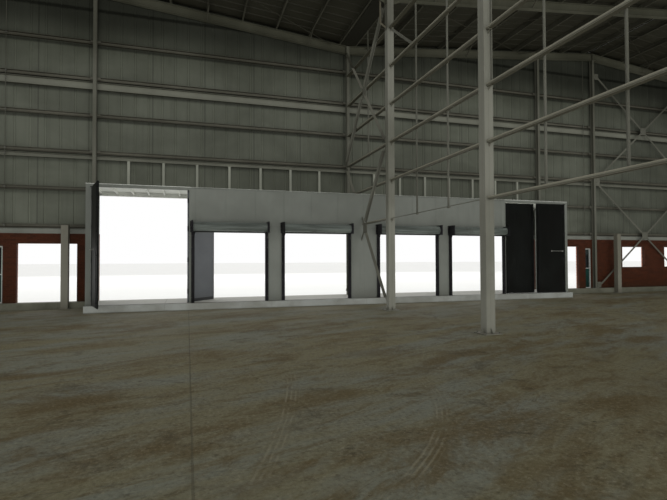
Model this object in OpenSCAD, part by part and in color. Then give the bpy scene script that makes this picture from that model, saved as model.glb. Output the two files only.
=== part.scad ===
// Twin-span factory hall with a recessed loading bay, as a half-size model.
// The loading gable faces +Y, X runs along it, and Z = 0 is the underside of the floor.
// Heights named "above the kerb" count from the kerb top, which is level with the dock.

/* [Hall] */
// Width of one gabled span, from the valley line to the eaves columns
span = 14500; // [14300:50:15500]
// Length of the bay next to each gable
end_bay = 2420; // [2300:20:3000]
// Length of an inner bay
inner_bay = 2965; // [2600:5:3200]
// Number of inner bays
inner_bays = 4; // [2:1:5]
// Height of the rafter centreline at valley and eaves, above the kerb
eaves_h = 5740; // [5640:20:6500]
// Rise of the roof for each unit of run
roof_pitch = 0.1; // [0.06:0.01:0.14]

/* [Ground] */
// Thickness of the floor slab
floor_t = 75; // [60:5:120]
// Height of the kerb and dock above the floor
kerb_h = 125; // [100:5:200]
// Width of the kerb that shows inside the gable walls
kerb_lip = 75; // [60:5:120]
// Open joint between lengths of kerb, and in the long back brickwork
kerb_joint = 10; // [5:1:20]

/* [Brickwork] */
// Height of the brick dado above the kerb
brick_h = 1350; // [1300:10:1400]
// Thickness of the brickwork
brick_t = 100; // [80:5:125]
// Width of a window opening
window_w = 825; // [600:25:900]
// Height of the window sill above the kerb
sill_h = 575; // [450:25:650]
// Height of the window head above the kerb
window_head = 1150; // [1050:10:1200]
// Distance from the valley line to the first gable window
first_window = 8300; // [8290:10:8400]
// Spacing of the gable windows
window_pitch = 1600; // [1500:20:1620]
// Number of windows beside the ridge post on the loading gable
gable_windows = 4; // [2:1:4]
// Distance from the valley line to the personnel doorway
doorway_x = 5700; // [5650:10:5800]
// Width of the personnel doorway
doorway_w = 1050; // [900:10:1080]
// Height of the personnel doorway
doorway_h = 1150; // [1050:10:1200]

/* [Side light] */
// Distance from the valley line to the narrow side light
light_x = 6980; // [6900:5:7000]
// Width of the side light
light_w = 190; // [160:5:200]
// Height of the side light
light_h = 1100; // [1000:10:1200]
// Height of its solid lower panel
light_panel_h = 525; // [400:5:650]
// Width of its frame bars
light_bar = 25; // [18:1:32]

/* [Steel frame] */
// Size of the square valley columns
valley_col = 125; // [110:5:160]
// Depth of the side columns
side_col = 175; // [150:5:200]
// Flange width of the side columns and rafters
flange_w = 100; // [80:5:120]
// Depth of the rafters
rafter_d = 175; // [150:5:200]
// Depth of the gable posts
post_d = 100; // [80:5:120]
// Flange width of the gable posts
post_w = 65; // [55:1:80]
// Thickness of flanges
flange_t = 8; // [6:0.5:12]
// Thickness of webs
web_t = 6; // [4:0.5:8]
// Distance from the valley line to the outer gable posts
outer_post_x = 10840; // [10780:10:11300]

/* [Rails and purlins] */
// Height of the lowest wall rail above the brickwork
first_rail = 150; // [140:5:200]
// Spacing of the wall rails
rail_gap = 750; // [700:10:760]
// Number of wall rails
rails = 6; // [4:1:6]
// Height of a wall rail
rail_h = 75; // [60:5:80]
// Depth of a wall rail
rail_d = 50; // [40:5:60]
// Thickness of rails and purlins
rail_t = 5; // [4:0.5:8]
// Height of the dado beam
dado_beam_h = 100; // [75:5:100]
// Height of the beam under the third rail
slim_beam_h = 75; // [60:5:80]
// Height of the deep beam under the fifth rail
deep_beam_h = 150; // [120:5:180]
// Clear space between a beam and the rail above it
beam_gap = 30; // [20:1:40]
// How much higher than the lowest wall rail the lowest rail of the valley line lies
valley_lift = 70; // [60:5:90]
// Spacing of the rails of the valley line
valley_gap = 710; // [700:5:720]
// Width of a rail of the valley line
valley_rail_w = 60; // [50:5:70]
// Height of a rail of the valley line
valley_rail_h = 35; // [30:1:45]
// Depth of a purlin
purlin_d = 100; // [80:5:120]
// Flange width of a purlin
purlin_w = 32; // [25:1:45]
// Distance from the valley line to the first purlin
purlin_0 = 190; // [185:5:210]
// Spacing of the purlins
purlin_gap = 750; // [700:10:800]

/* [Sheeting] */
// Thickness of the sheets
sheet_t = 5; // [4:0.5:8]
// Height of the sheet ribs
rib_h = 15; // [12:1:25]
// Spacing of the sheet ribs
rib_pitch = 265; // [150:5:300]
// Half width of a rib at its foot, as a share of its height
rib_foot = 1.6; // [1.2:0.1:2]
// Half width of a rib at its top, as a share of its height
rib_top = 0.8; // [0.4:0.1:1]
// Distance from the valley line to the edge of the inner roof sheets
valley_edge = 90; // [80:5:100]
// Overhang of the roof sheets past the side cladding
eaves_over = 60; // [40:5:80]
// Width of each wing of the ridge cap
ridge_wing = 220; // [160:10:300]
// Width of the eaves gutter
gutter_w = 110; // [90:5:130]
// Depth of the eaves gutter
gutter_d = 90; // [70:5:110]
// Clear space between a gutter and the sheet that drains into it
gutter_play = 4; // [3:1:8]
// Radius of the downpipes
pipe_r = 30; // [25:1:40]
// Radius of the outlets beside the valley columns
outlet_r = 18; // [14:1:19]
// Height of the straight part of an outlet
outlet_drop = 600; // [400:10:700]
// Angle between the slanting part of an outlet and the column
outlet_slant = 50; // [40:1:70]
// Height of the barge trims
barge_h = 110; // [90:5:140]

/* [Loading bay] */
// Distance from the gable frame line to the inner face of the panel wall
recess = 1025; // [900:25:1200]
// Thickness of the panels
panel_t = 50; // [40:5:60]
// Dock slab showing inside the panel wall
dock_lip = 150; // [100:10:250]
// Depth of the joists in the soffit
joist_d = 50; // [40:5:60]
// Spacing of the joists
joist_gap = 300; // [250:10:400]
// Width of a joist
joist_w = 25; // [20:1:40]
// Depth of the lintel at the gable
lintel_h = 85; // [70:5:110]
// Spacing of the short studs over the lintel
stud_gap = 680; // [600:10:800]

/* [Shutters] */
// Height of the shutter openings
shutter_h = 1350; // [1200:10:1450]
// Distance from the valley line to the inner shutter opening
inner_shutter_x = 300; // [200:10:350]
// Distance from the valley line to the outer shutter opening
outer_shutter_x = 2050; // [2000:10:2100]
// Width of a shutter opening between its piers
shutter_w = 1475; // [1400:5:1500]
// Width of a guide rail
guide_w = 60; // [40:5:70]
// Depth of a guide rail
guide_d = 50; // [40:5:60]
// Thickness of the curtain
curtain_t = 8; // [6:1:12]
// Height of the bar along the foot of the curtain
bar_h = 45; // [35:5:55]
// Radius of the rolled shutter
roll_r = 85; // [70:5:90]
// Side of the square end bracket
bracket_s = 215; // [200:5:230]

/* [Loading doors] */
// Clear width of the doorway
door_w = 1700; // [1500:10:1800]
// Height of the door head, up to the deck
door_head = 55; // [55:5:300]
// Width of the door jambs
jamb_w = 40; // [35:5:60]
// Thickness of a leaf
leaf_t = 25; // [20:1:30]
// Width of the bars that frame a leaf
stile_w = 60; // [40:5:90]
// Depth that the panels of a leaf are sunk
sunk = 3; // [2:0.5:5]
// Height of the middle bar of a leaf, as a share of the leaf
lock_share = 0.47; // [0.4:0.01:0.55]
// Gap between the tips of a closed pair
leaf_gap = 12; // [8:1:60]
// Gap between a leaf and the dock or the door head
leaf_play = 12; // [8:1:20]
// Distance from the hinge axis to the jamb and to the wall face
hinge_in = 20; // [18:1:24]
// How far the outer left leaf stands open into the hall
left_outer_open = 74; // [0:1:95]
// How far the inner left leaf stands open to the yard
left_inner_open = 128; // [0:1:135]

/* [Hidden] */

seat = 0.3;
datum = floor_t + kerb_h;
frames = inner_bays + 3;
hall_len = 2 * end_bay + inner_bays * inner_bay;
gable_y = hall_len / 2;
ridge_x = span / 2;
roof_angle = atan(roof_pitch);
slope_len = span / 2 / cos(roof_angle);

// Wall build-up, counted outwards from a frame line: posts, rails, then sheet or brick
gable_rail = post_d / 2;
gable_sheet = gable_rail + rail_d;
gable_face = gable_rail + brick_t;
side_rail = side_col / 2;
side_sheet = side_rail + rail_d;
side_face = side_rail + brick_t;
hall_out_x = span + side_face;
hall_out_y = gable_y + gable_face;

// Roof build-up, counted square to the slope from the rafter centreline
rafter_n = rafter_d / 2 * cos(roof_angle);
sheet_n = rafter_n + purlin_d;
valley_gutter_half = purlin_0 - sheet_n * sin(roof_angle) - gutter_play;
gutter_floor = rafter_z(valley_gutter_half) + rafter_d / 2 + 2 * seat;
outlet_x = valley_gutter_half - outlet_r;
outlet_y = flange_w / 2 + outlet_r + 2 * seat;
purlins_on_slope = floor((span / 2 - purlin_0 - purlin_w) / purlin_gap) + 1;

// Heights that follow the rails: the loading bay stops under the second one
rail_0 = brick_h + first_rail;
panel_h = rail_0 + rail_gap - rail_h / 2 - sheet_t / 2;
door_h = panel_h - door_head;

// The loading bay: beside the shutters a doorway, a cheek, and the corner post outside it
wall_in = gable_y - recess;
wall_out = wall_in + panel_t;
door_x = outer_shutter_x + shutter_w + jamb_w;
cheek_x = door_x + door_w + jamb_w;
dock_half = cheek_x + panel_t;
dock_post_x = dock_half + post_w / 2 + seat;
lintel_y = gable_y + gable_rail;
lintel_top = datum + rail_0 + rail_gap - rail_h / 2;
leaf_len = (door_w - leaf_gap) / 2 - hinge_in;
hinge_r = leaf_t / 2;

dado_post_x = [5860, 7860];
dado_post_w = 125;
cross_w = 45;
cross_t = 10;
gusset = 200;
rod_r = 15;
cable_r = 6;
cable_bay = frames - 3;

function frame_y(i) = i == 0 ? -gable_y : i == frames - 1 ? gable_y
    : -gable_y + end_bay + (i - 1) * inner_bay;
function rafter_z(x) = datum + eaves_h + roof_pitch * (span / 2 - abs(abs(x) - ridge_x));
function rail_z(i) = datum + rail_0 + i * rail_gap;
function valley_rail_z(i) = datum + rail_0 + valley_lift + i * valley_gap;
function under_rafter(x, w) =
    min(rafter_z(x - w / 2), rafter_z(x), rafter_z(x + w / 2)) - rafter_d / 2;
function under_roof(x) = rafter_z(x) + sheet_n / cos(roof_angle);

// Profiles, with their lower left corner on the origin
function channel_profile(w, h, t) =
    [[0, 0], [w, 0], [w, t], [t, t], [t, h - t], [w, h - t], [w, h], [0, h]];
function i_profile(w, h) = [
    [0, 0], [w, 0], [w, flange_t], [(w + web_t) / 2, flange_t],
    [(w + web_t) / 2, h - flange_t], [w, h - flange_t], [w, h], [0, h],
    [0, h - flange_t], [(w - web_t) / 2, h - flange_t], [(w - web_t) / 2, flange_t],
    [0, flange_t]
];

// One edge of a ribbed sheet: flat pans with narrow trapezoid ribs
function rib_edge(width, lift) = [
    for (i = [0 : floor(width / rib_pitch) - 1]) let (x = (i + 0.5) * rib_pitch)
        each [[x - rib_h * rib_foot, lift], [x - rib_h * rib_top, lift + rib_h],
              [x + rib_h * rib_top, lift + rib_h], [x + rib_h * rib_foot, lift]]
];
function reversed(list) = [for (i = [len(list) - 1 : -1 : 0]) list[i]];
function sheet_profile(width) = concat(
    [[0, sheet_t]], rib_edge(width, sheet_t), [[width, sheet_t], [width, 0]],
    reversed(rib_edge(width, 0)), [[0, 0]]
);

// A profile drawn in X and Y, laid so that it runs along +X, with its Y turned up
module along_x(length) {
    rotate([90, 0, 90]) linear_extrude(length) children();
}

// A profile drawn in X and Y, laid so that it runs along +Y, with its Y turned up
module along_y(length) {
    translate([0, length, 0]) rotate([90, 0, 0]) linear_extrude(length) children();
}

module both_sides() {
    children();
    mirror([1, 0, 0]) children();
}

module both_gables() {
    children();
    mirror([0, 1, 0]) children();
}

// A bar between two distances from the valley line that follows the roof pitch
module sloped_bar(xa, xb, lo, hi, width) {
    translate([0, width / 2, 0]) rotate([90, 0, 0]) linear_extrude(width)
        polygon([[xa, rafter_z(xa) + lo], [xb, rafter_z(xb) + lo],
                 [xb, rafter_z(xb) + hi], [xa, rafter_z(xa) + hi]]);
}

// Puts a piece on the right-hand span, X up the slope and Z square to it
module on_slope(from_valley) {
    translate([from_valley ? 0 : span, 0, datum + eaves_h])
        mirror([from_valley ? 0 : 1, 0, 0]) rotate([0, -roof_angle, 0]) children();
}

module floor_slab() {
    color([0.42, 0.39, 0.33])
        translate([-hall_out_x, -hall_out_y, 0])
            cube([2 * hall_out_x, 2 * hall_out_y, floor_t]);
}

module dock_slab() {
    color([0.60, 0.60, 0.57])
        translate([-dock_half, wall_in - dock_lip, floor_t])
            cube([2 * dock_half, recess + dock_lip + gable_face, kerb_h]);
}

module kerb() {
    kerb_in = gable_y - kerb_lip - post_d / 2;
    side_in = span - side_col / 2 - kerb_lip / 2;
    color([0.60, 0.60, 0.57]) {
        both_sides() translate([dock_half, kerb_in, floor_t])
            cube([hall_out_x - dock_half, hall_out_y - kerb_in, kerb_h]);
        translate([-hall_out_x, -hall_out_y, floor_t])
            cube([2 * hall_out_x, hall_out_y - kerb_in, kerb_h]);
        both_sides() translate([side_in, -kerb_in + kerb_joint, floor_t])
            cube([hall_out_x - side_in, 2 * (kerb_in - kerb_joint), kerb_h]);
    }
}

// An opening through a wall that stands along X, from its sill to its head
module opening(x, w, sill, head) {
    translate([x, gable_y - brick_t, datum + sill])
        cube([w, gable_face + 2 * brick_t, head - sill]);
}

module front_brick() {
    color([0.45, 0.16, 0.11]) both_sides() difference() {
        translate([cheek_x, gable_y + gable_rail, datum])
            cube([hall_out_x - cheek_x, brick_t, brick_h]);
        opening(doorway_x, doorway_w, 0, doorway_h);
        opening(light_x, light_w, 0, light_h);
        for (i = [0 : gable_windows - 1])
            opening(first_window + i * window_pitch, window_w, sill_h, window_head);
    }
}

// Back windows stand evenly between the gable posts
back_bays = [[0, dock_post_x, 3], [dock_post_x, ridge_x, 1],
             [ridge_x, outer_post_x, 2], [outer_post_x, span, 2]];

module back_brick() {
    color([0.45, 0.16, 0.11]) mirror([0, 1, 0]) difference() {
        translate([-hall_out_x, gable_y + gable_rail, datum])
            cube([2 * hall_out_x, brick_t, brick_h]);
        both_sides() for (bay = back_bays) {
            share = (bay[1] - bay[0]) / bay[2];
            for (i = [0 : bay[2] - 1])
                opening(bay[0] + (i + 0.5) * share - window_w / 2, window_w, sill_h, window_head);
        }
        for (x = [-ridge_x, 0, ridge_x])
            opening(x - kerb_joint / 2, kerb_joint, -brick_t, brick_h + brick_t);
    }
}

module side_brick() {
    inner = gable_y + gable_rail;
    color([0.45, 0.16, 0.11]) both_sides() difference() {
        translate([span + side_rail, -inner, datum]) cube([brick_t, 2 * inner, brick_h]);
        for (i = [0 : frames - 2], share = [0.25, 0.75]) {
            middle = frame_y(i) + share * (frame_y(i + 1) - frame_y(i));
            translate([span, middle - window_w / 2, datum + sill_h])
                cube([side_face + brick_t, window_w, window_head - sill_h]);
        }
    }
}

// A steel rail along X on a gable, its open side to the hall
module gable_rail_bar(xa, xb, z, h) {
    translate([xa, gable_y + gable_rail, z]) along_x(xb - xa)
        translate([rail_d, 0]) mirror([1, 0]) polygon(channel_profile(rail_d, h, rail_t));
}

// A steel rail along Y on the right-hand side wall, its open side to the hall
module side_rail_bar(z, h) {
    length = 2 * (gable_y + gable_sheet);
    translate([span + side_rail, -length / 2, z]) along_y(length)
        translate([rail_d, 0]) mirror([1, 0]) polygon(channel_profile(rail_d, h, rail_t));
}

rail_end = span + side_rail;

module dado_beams() {
    z = datum + brick_h;
    color([0.52, 0.54, 0.48]) {
        both_sides() {
            gable_rail_bar(cheek_x, rail_end - kerb_joint, z, dado_beam_h);
            side_rail_bar(z, dado_beam_h);
        }
        mirror([0, 1, 0])
            gable_rail_bar(-rail_end + kerb_joint, rail_end - kerb_joint, z, dado_beam_h);
    }
}

module gable_beams() {
    color([0.52, 0.54, 0.48]) both_gables() {
        gable_rail_bar(-rail_end, rail_end, rail_z(2) - rail_h / 2 - beam_gap - slim_beam_h,
                       slim_beam_h);
        gable_rail_bar(-rail_end, rail_end, rail_z(4) - rail_h / 2 - beam_gap - deep_beam_h,
                       deep_beam_h);
    }
}

module front_girts() {
    color([0.50, 0.52, 0.46]) {
        both_sides() gable_rail_bar(cheek_x, rail_end, rail_z(0) - rail_h / 2, rail_h);
        for (i = [1 : rails - 1])
            gable_rail_bar(-rail_end, rail_end, rail_z(i) - rail_h / 2, rail_h);
    }
}

module back_girts() {
    color([0.50, 0.52, 0.46]) mirror([0, 1, 0]) for (i = [0 : rails - 1])
        gable_rail_bar(-rail_end, rail_end, rail_z(i) - rail_h / 2, rail_h);
}

module side_girts() {
    color([0.50, 0.52, 0.46]) both_sides() for (i = [0 : rails - 1])
        side_rail_bar(rail_z(i) - rail_h / 2, rail_h);
}

// Ribbed sheet standing on a gable, cut to the roof line and around the valley gutter
module gable_sheet_wall(xa, xb, foot) {
    top = under_roof(ridge_x);
    notch = valley_gutter_half + seat;
    intersection() {
        translate([xa, gable_y + gable_sheet, foot])
            linear_extrude(top - foot) polygon(sheet_profile(xb - xa));
        translate([0, gable_y + gable_sheet + 2 * rib_h, -seat]) rotate([90, 0, 0])
            linear_extrude(3 * rib_h)
                polygon([[-hall_out_x, 0], [-hall_out_x, under_roof(hall_out_x)],
                         [-ridge_x, top], [-notch, under_roof(notch)],
                         [-notch, gutter_floor], [notch, gutter_floor],
                         [notch, under_roof(notch)], [ridge_x, top],
                         [hall_out_x, under_roof(hall_out_x)], [hall_out_x, 0]]);
    }
}

sheet_end = span + side_sheet;

module front_cladding() {
    foot = datum + brick_h;
    color([0.34, 0.36, 0.31]) {
        gable_sheet_wall(cheek_x, sheet_end, foot);
        gable_sheet_wall(-sheet_end, -cheek_x, foot);
    }
}

module over_dock_cladding() {
    color([0.34, 0.36, 0.31])
        gable_sheet_wall(-cheek_x, cheek_x, lintel_top);
}

module back_cladding() {
    color([0.34, 0.36, 0.31]) mirror([0, 1, 0])
        gable_sheet_wall(-sheet_end, sheet_end, datum + brick_h);
}

module side_cladding() {
    foot = datum + brick_h;
    width = 2 * (gable_y + gable_sheet);
    color([0.34, 0.36, 0.31]) both_sides()
        translate([sheet_end, width / 2, foot]) rotate([0, 0, -90])
            linear_extrude(under_roof(sheet_end + rib_h + sheet_t) - seat - foot)
                polygon(sheet_profile(width));
}

// Roof sheet on one slope, its ribs running down the slope
module roof_sheet(from_valley) {
    width = 2 * (gable_y + gable_sheet + rib_h + sheet_t);
    low = from_valley ? valley_edge : -(side_sheet + eaves_over);
    on_slope(from_valley) translate([low, -width / 2, sheet_n])
        along_x(slope_len - low - sheet_t) polygon(sheet_profile(width));
}

module roof_left_outer() { color([0.36, 0.37, 0.33]) mirror([1, 0, 0]) roof_sheet(false); }
module roof_left_inner() { color([0.36, 0.37, 0.33]) mirror([1, 0, 0]) roof_sheet(true); }
module roof_right_inner() { color([0.36, 0.37, 0.33]) roof_sheet(true); }
module roof_right_outer() { color([0.36, 0.37, 0.33]) roof_sheet(false); }

roof_half = gable_y + gable_sheet + rib_h + sheet_t;
cap_z = (sheet_n + rib_h + sheet_t) / cos(roof_angle);

module ridge_caps() {
    color([0.70, 0.71, 0.68]) both_sides() translate([0, -roof_half, 0]) along_y(2 * roof_half)
        polygon([for (p = [[-1, 0], [0, 0], [1, 0], [1, 1], [0, 1], [-1, 1]])
            [ridge_x + p[0] * ridge_wing,
             rafter_z(ridge_x + p[0] * ridge_wing) + cap_z + seat + p[1] * sheet_t]]);
}

module valley_gutter() {
    rim = under_roof(valley_edge) - gutter_play;
    h = valley_gutter_half;
    t = sheet_t;
    color([0.55, 0.57, 0.54]) translate([0, -roof_half, 0]) along_y(2 * roof_half)
        polygon([[-h, gutter_floor], [h, gutter_floor], [h, rim], [h - t, rim],
                 [h - t, gutter_floor + t], [-h + t, gutter_floor + t], [-h + t, rim], [-h, rim]]);
}

gutter_x = sheet_end + rib_h + sheet_t;
gutter_top = under_roof(gutter_x + gutter_w) - gutter_play;

module eaves_gutters() {
    color([0.70, 0.71, 0.68]) both_sides()
        translate([gutter_x, -roof_half, gutter_top - gutter_d]) along_y(2 * roof_half)
            polygon([[0, 0], [gutter_w, 0], [gutter_w, gutter_d], [gutter_w - sheet_t, gutter_d],
                     [gutter_w - sheet_t, sheet_t], [sheet_t, sheet_t], [sheet_t, gutter_d],
                     [0, gutter_d]]);
}

// Pipes down the side walls, and elbows that drain the valley gutter into its columns
module downpipes() {
    x = max(gutter_x + gutter_w / 2, hall_out_x + pipe_r);
    color([0.70, 0.71, 0.68]) {
        both_sides() for (i = [1 : 2 : frames - 2])
            translate([x, frame_y(i), floor_t])
                cylinder(r = pipe_r, h = gutter_top - gutter_d - floor_t);
        for (i = [1 : frames - 2])
            translate([-outlet_x, frame_y(i) + outlet_y, 0]) valley_outlet();
    }
}

// The elbow of one column: straight down from the gutter, then slanting into the column
module valley_outlet() {
    bend = gutter_floor - seat - outlet_drop;
    reach = outlet_x - valley_col / 2 - seat;
    turn = atan2(outlet_y - valley_col / 4, reach);
    difference() {
        union() {
            translate([0, 0, bend]) cylinder(r = outlet_r, h = outlet_drop);
            translate([0, 0, bend]) sphere(r = outlet_r);
            translate([0, 0, bend]) rotate([0, 180 - outlet_slant, -turn])
                cylinder(r = outlet_r, h = (reach / cos(turn) + outlet_r) / sin(outlet_slant));
        }
        translate([reach, -outlet_x, bend - 2 * outlet_x]) cube([outlet_x, 2 * outlet_x, 3 * outlet_x]);
    }
}

// Barge trims along both gables and corner trims down the cladding
module edge_trims() {
    y = gable_y + gable_sheet + rib_h + sheet_t;
    end = span + side_sheet + eaves_over;
    color([0.70, 0.71, 0.68]) {
        both_gables() both_sides() for (run = [[0, ridge_x], [ridge_x, end]])
            translate([0, y + sheet_t, 0]) rotate([90, 0, 0]) linear_extrude(sheet_t)
                polygon([for (p = [[0, 0], [1, 0], [1, 1], [0, 1]])
                    let (x = run[p[0]] + seat * (1 - 2 * p[0]))
                    [x, under_roof(x) + rib_h + sheet_t + (p[1] - 1) * barge_h]]);
        both_gables() both_sides()
            translate([sheet_end + rib_h + sheet_t, gable_y + gable_sheet, datum + brick_h])
                cube([sheet_t, rib_h, eaves_h - brick_h - barge_h]);
    }
}

module valley_columns() {
    color([0.50, 0.52, 0.46]) for (i = [1 : frames - 2])
        translate([-valley_col / 2, frame_y(i) - valley_col / 2, floor_t])
            cube([valley_col, valley_col, rafter_z(0) + rafter_d / 2 - floor_t]);
}

module side_columns() {
    color([0.50, 0.52, 0.46]) both_sides() for (i = [0 : frames - 1])
        translate([span - side_col / 2, frame_y(i) - flange_w / 2, datum])
            linear_extrude(rafter_z(span) + rafter_d / 2 - datum)
                translate([side_col, 0]) rotate(90) polygon(i_profile(flange_w, side_col));
}

// A gable post between the kerb and a height
module gable_post(x, top) {
    translate([x - post_w / 2, gable_y - post_d / 2, datum])
        linear_extrude(top - datum) polygon(i_profile(post_w, post_d));
}

module gable_posts() {
    color([0.50, 0.52, 0.46]) both_gables() {
        gable_post(0, rafter_z(0) + rafter_d / 2);
        both_sides() for (x = [dock_post_x, ridge_x, outer_post_x])
            gable_post(x, under_rafter(x, post_w));
    }
}

// An I-section rafter between two distances from the valley line
module rafter(xa, xb) {
    half = rafter_d / 2;
    sloped_bar(xa, xb, -half, -half + flange_t, flange_w);
    sloped_bar(xa, xb, half - flange_t, half, flange_w);
    sloped_bar(xa, xb, -half, half, web_t);
}

module inner_rafters() {
    color([0.46, 0.48, 0.42]) both_sides() for (i = [0 : frames - 1])
        translate([0, frame_y(i), 0])
            rafter((i == 0 || i == frames - 1 ? post_w : valley_col) / 2, ridge_x);
}

module outer_rafters() {
    color([0.46, 0.48, 0.42]) both_sides() for (i = [0 : frames - 1])
        translate([0, frame_y(i), 0]) rafter(ridge_x, span - side_col / 2);
}

module span_purlins() {
    length = 2 * (gable_y + gable_sheet);
    for (inner = [true, false], i = [0 : purlins_on_slope - 1])
        on_slope(inner)
            translate([(purlin_0 + i * purlin_gap) / cos(roof_angle), -length / 2, rafter_n])
                along_y(length) polygon(channel_profile(purlin_w, purlin_d, rail_t));
}

module purlins_left() { color([0.46, 0.48, 0.42]) mirror([1, 0, 0]) span_purlins(); }
module purlins_right() { color([0.46, 0.48, 0.42]) span_purlins(); }

// A channel between two places along the valley line, its open side up
module valley_rail(ya, yb, z) {
    translate([-valley_rail_w / 2, ya, z - valley_rail_h / 2]) along_y(yb - ya)
        polygon([for (p = channel_profile(valley_rail_h, valley_rail_w, rail_t)) [p[1], p[0]]]);
}

// Rails between the valley columns; in one bay a thin cable takes the place of the lowest
module valley_girts() {
    half = valley_col / 2;
    color([0.50, 0.52, 0.46]) for (i = [0 : frames - 2], level = [0 : rails - 1]) {
        ya = i == 0 ? -gable_y + gable_rail : frame_y(i) + half;
        yb = i < frames - 2 ? frame_y(i + 1) - half : level == 0 ? wall_in : gable_y - gable_rail;
        if (i != cable_bay || level > 0) valley_rail(ya, yb, valley_rail_z(level));
    }
}

// Rods at the thirds of the inner bays and the middle of the end bays, a hanger beside one
// column, and the cable
module sag_rods() {
    x = valley_rail_w / 2 + rod_r;
    top = rafter_z(x) - rafter_d / 2;
    color([0.50, 0.52, 0.46]) {
        for (i = [0 : frames - 2]) {
            end = i == 0 || i == frames - 2;
            low = valley_rail_z(end ? 2 : 0) - valley_rail_h / 2;
            for (share = end ? [1 / 2] : [1 / 3, 2 / 3])
                translate([x, frame_y(i) + share * (frame_y(i + 1) - frame_y(i)), low])
                    cylinder(r = rod_r, h = top - low);
        }
        translate([(valley_rail_w + rod_r) / 2, frame_y(cable_bay) - valley_col / 2 - rod_r,
                   valley_rail_z(2)])
            cylinder(r = rod_r / 2, h = top - valley_rail_z(2));
        translate([0, frame_y(cable_bay) + valley_col / 2, valley_rail_z(0)]) rotate([-90, 0, 0])
            cylinder(r = cable_r, h = frame_y(cable_bay + 1) - frame_y(cable_bay) - valley_col);
    }
}

// One flat bar across a rectangle that starts at the origin, in X and Y
module diagonal(w, h) {
    intersection() {
        square([w, h]);
        rotate(atan2(h, w)) translate([0, -cross_w / 2]) square([norm([w, h]), cross_w]);
    }
}

// Two bars that cross from the origin to [w, h], in X and Z, the front one with a middle plate
module cross(w, h) {
    rotate([90, 0, 0]) {
        linear_extrude(cross_t) {
            diagonal(w, h);
            translate([(w - gusset) / 2, (h - gusset) / 2]) square(gusset);
        }
        translate([w, 0, -cross_t - seat]) mirror([1, 0, 0]) linear_extrude(cross_t) diagonal(w, h);
    }
}

module gable_bracing() {
    xa = ridge_x + post_w / 2;
    w = outer_post_x - ridge_x - post_w;
    mid = rail_z(2);
    color([0.50, 0.52, 0.46]) both_gables() both_sides() {
        translate([xa, gable_y - post_d / 2 + cross_t, datum]) cross(w, mid - datum - cross_w);
        translate([xa, gable_y - post_d / 2 + cross_t, mid]) cross(w, mid - datum);
    }
}

// The lower cross passes through the panel wall and the deck, which are cut to fit it closely
module valley_bracing() {
    ya = frame_y(frames - 2) + valley_col / 2;
    w = gable_y - post_d / 2 - ya;
    mid = valley_rail_z(2);
    x = -valley_rail_w / 2 - cross_t - seat;
    color([0.50, 0.52, 0.46]) {
        difference() {
            translate([x, ya, datum]) rotate([0, 0, 90]) cross(w, mid - datum - cross_w);
            translate([2 * x, wall_in - seat, datum]) cube([-4 * x, panel_t + 2 * seat, panel_h]);
            translate([2 * x, wall_in - seat, datum + panel_h - seat])
                cube([-4 * x, recess, sheet_t + 2 * seat]);
        }
        translate([x, ya, mid]) rotate([0, 0, 90]) cross(w, rafter_z(0) - rafter_d / 2 - mid);
        knee_brace();
    }
}

// A short bar from a column down to the fifth rail, where the first rod crosses it
module knee_brace() {
    near = frame_y(cable_bay + 1) - valley_col / 2;
    run = inner_bay / 3 - valley_col / 2;
    low = valley_rail_z(rails - 2) - valley_rail_h / 2 + rail_t;
    high = valley_rail_z(rails - 1) - valley_rail_h / 2;
    translate([-cross_t / 2, near - run, low]) rotate([90, 0, 90]) linear_extrude(cross_t)
        diagonal(run, high - low);
}

module dado_posts() {
    y = gable_y - post_d / 2 - kerb_lip - dado_post_w;
    color([0.50, 0.52, 0.46]) both_sides() for (x = dado_post_x)
        translate([x - dado_post_w / 2, y, floor_t])
            cube([dado_post_w, dado_post_w, datum + rail_0 - floor_t]);
}

// A panel of the loading bay wall, between two distances from the valley line
module wall_panel(xa, xb, za, zb) {
    translate([xa, wall_in, za]) cube([xb - xa, panel_t, zb - za]);
}

module dock_piers() {
    head = datum + shutter_h;
    color([0.39, 0.40, 0.36]) {
        wall_panel(-inner_shutter_x, inner_shutter_x, datum, head);
        both_sides() wall_panel(inner_shutter_x + shutter_w, outer_shutter_x, datum, head);
    }
}

module dock_header() {
    edge = outer_shutter_x + shutter_w;
    color([0.39, 0.40, 0.36]) wall_panel(-edge, edge, datum + shutter_h, datum + panel_h);
}

module dock_cheeks() {
    color([0.60, 0.61, 0.57]) both_sides()
        translate([cheek_x, wall_in, datum]) cube([panel_t, lintel_y - wall_in, panel_h]);
}

module dock_joists() {
    count = floor((cheek_x - joist_w) / joist_gap - 0.5);
    color([0.66, 0.67, 0.62]) both_sides() for (i = [0 : count])
        translate([(i + 0.5) * joist_gap - joist_w / 2, wall_out, datum + panel_h - joist_d])
            cube([joist_w, lintel_y - wall_out, joist_d]);
}

// Deck over the joists and cheeks, cut around the middle gable post
module dock_deck() {
    color([0.55, 0.56, 0.52]) difference() {
        translate([-dock_half, wall_in, datum + panel_h])
            cube([2 * dock_half, lintel_y - wall_in, sheet_t]);
        translate([-post_w / 2, gable_y - post_d / 2, datum + panel_h - sheet_t])
            cube([post_w, post_d, 3 * sheet_t]);
    }
}

module dock_lintel() {
    color([0.66, 0.67, 0.62]) translate([-cheek_x, lintel_y, lintel_top - lintel_h])
        cube([2 * cheek_x, rail_d, lintel_h]);
}

module dock_studs() {
    low = rail_z(1) + rail_h / 2;
    high = rail_z(2) - rail_h / 2 - beam_gap - slim_beam_h;
    count = floor(dock_post_x / stud_gap);
    color([0.56, 0.58, 0.52]) for (i = [-count : count])
        translate([i * stud_gap - rail_d / 2, lintel_y, low]) cube([rail_d, rail_d, high - low]);
}

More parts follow.
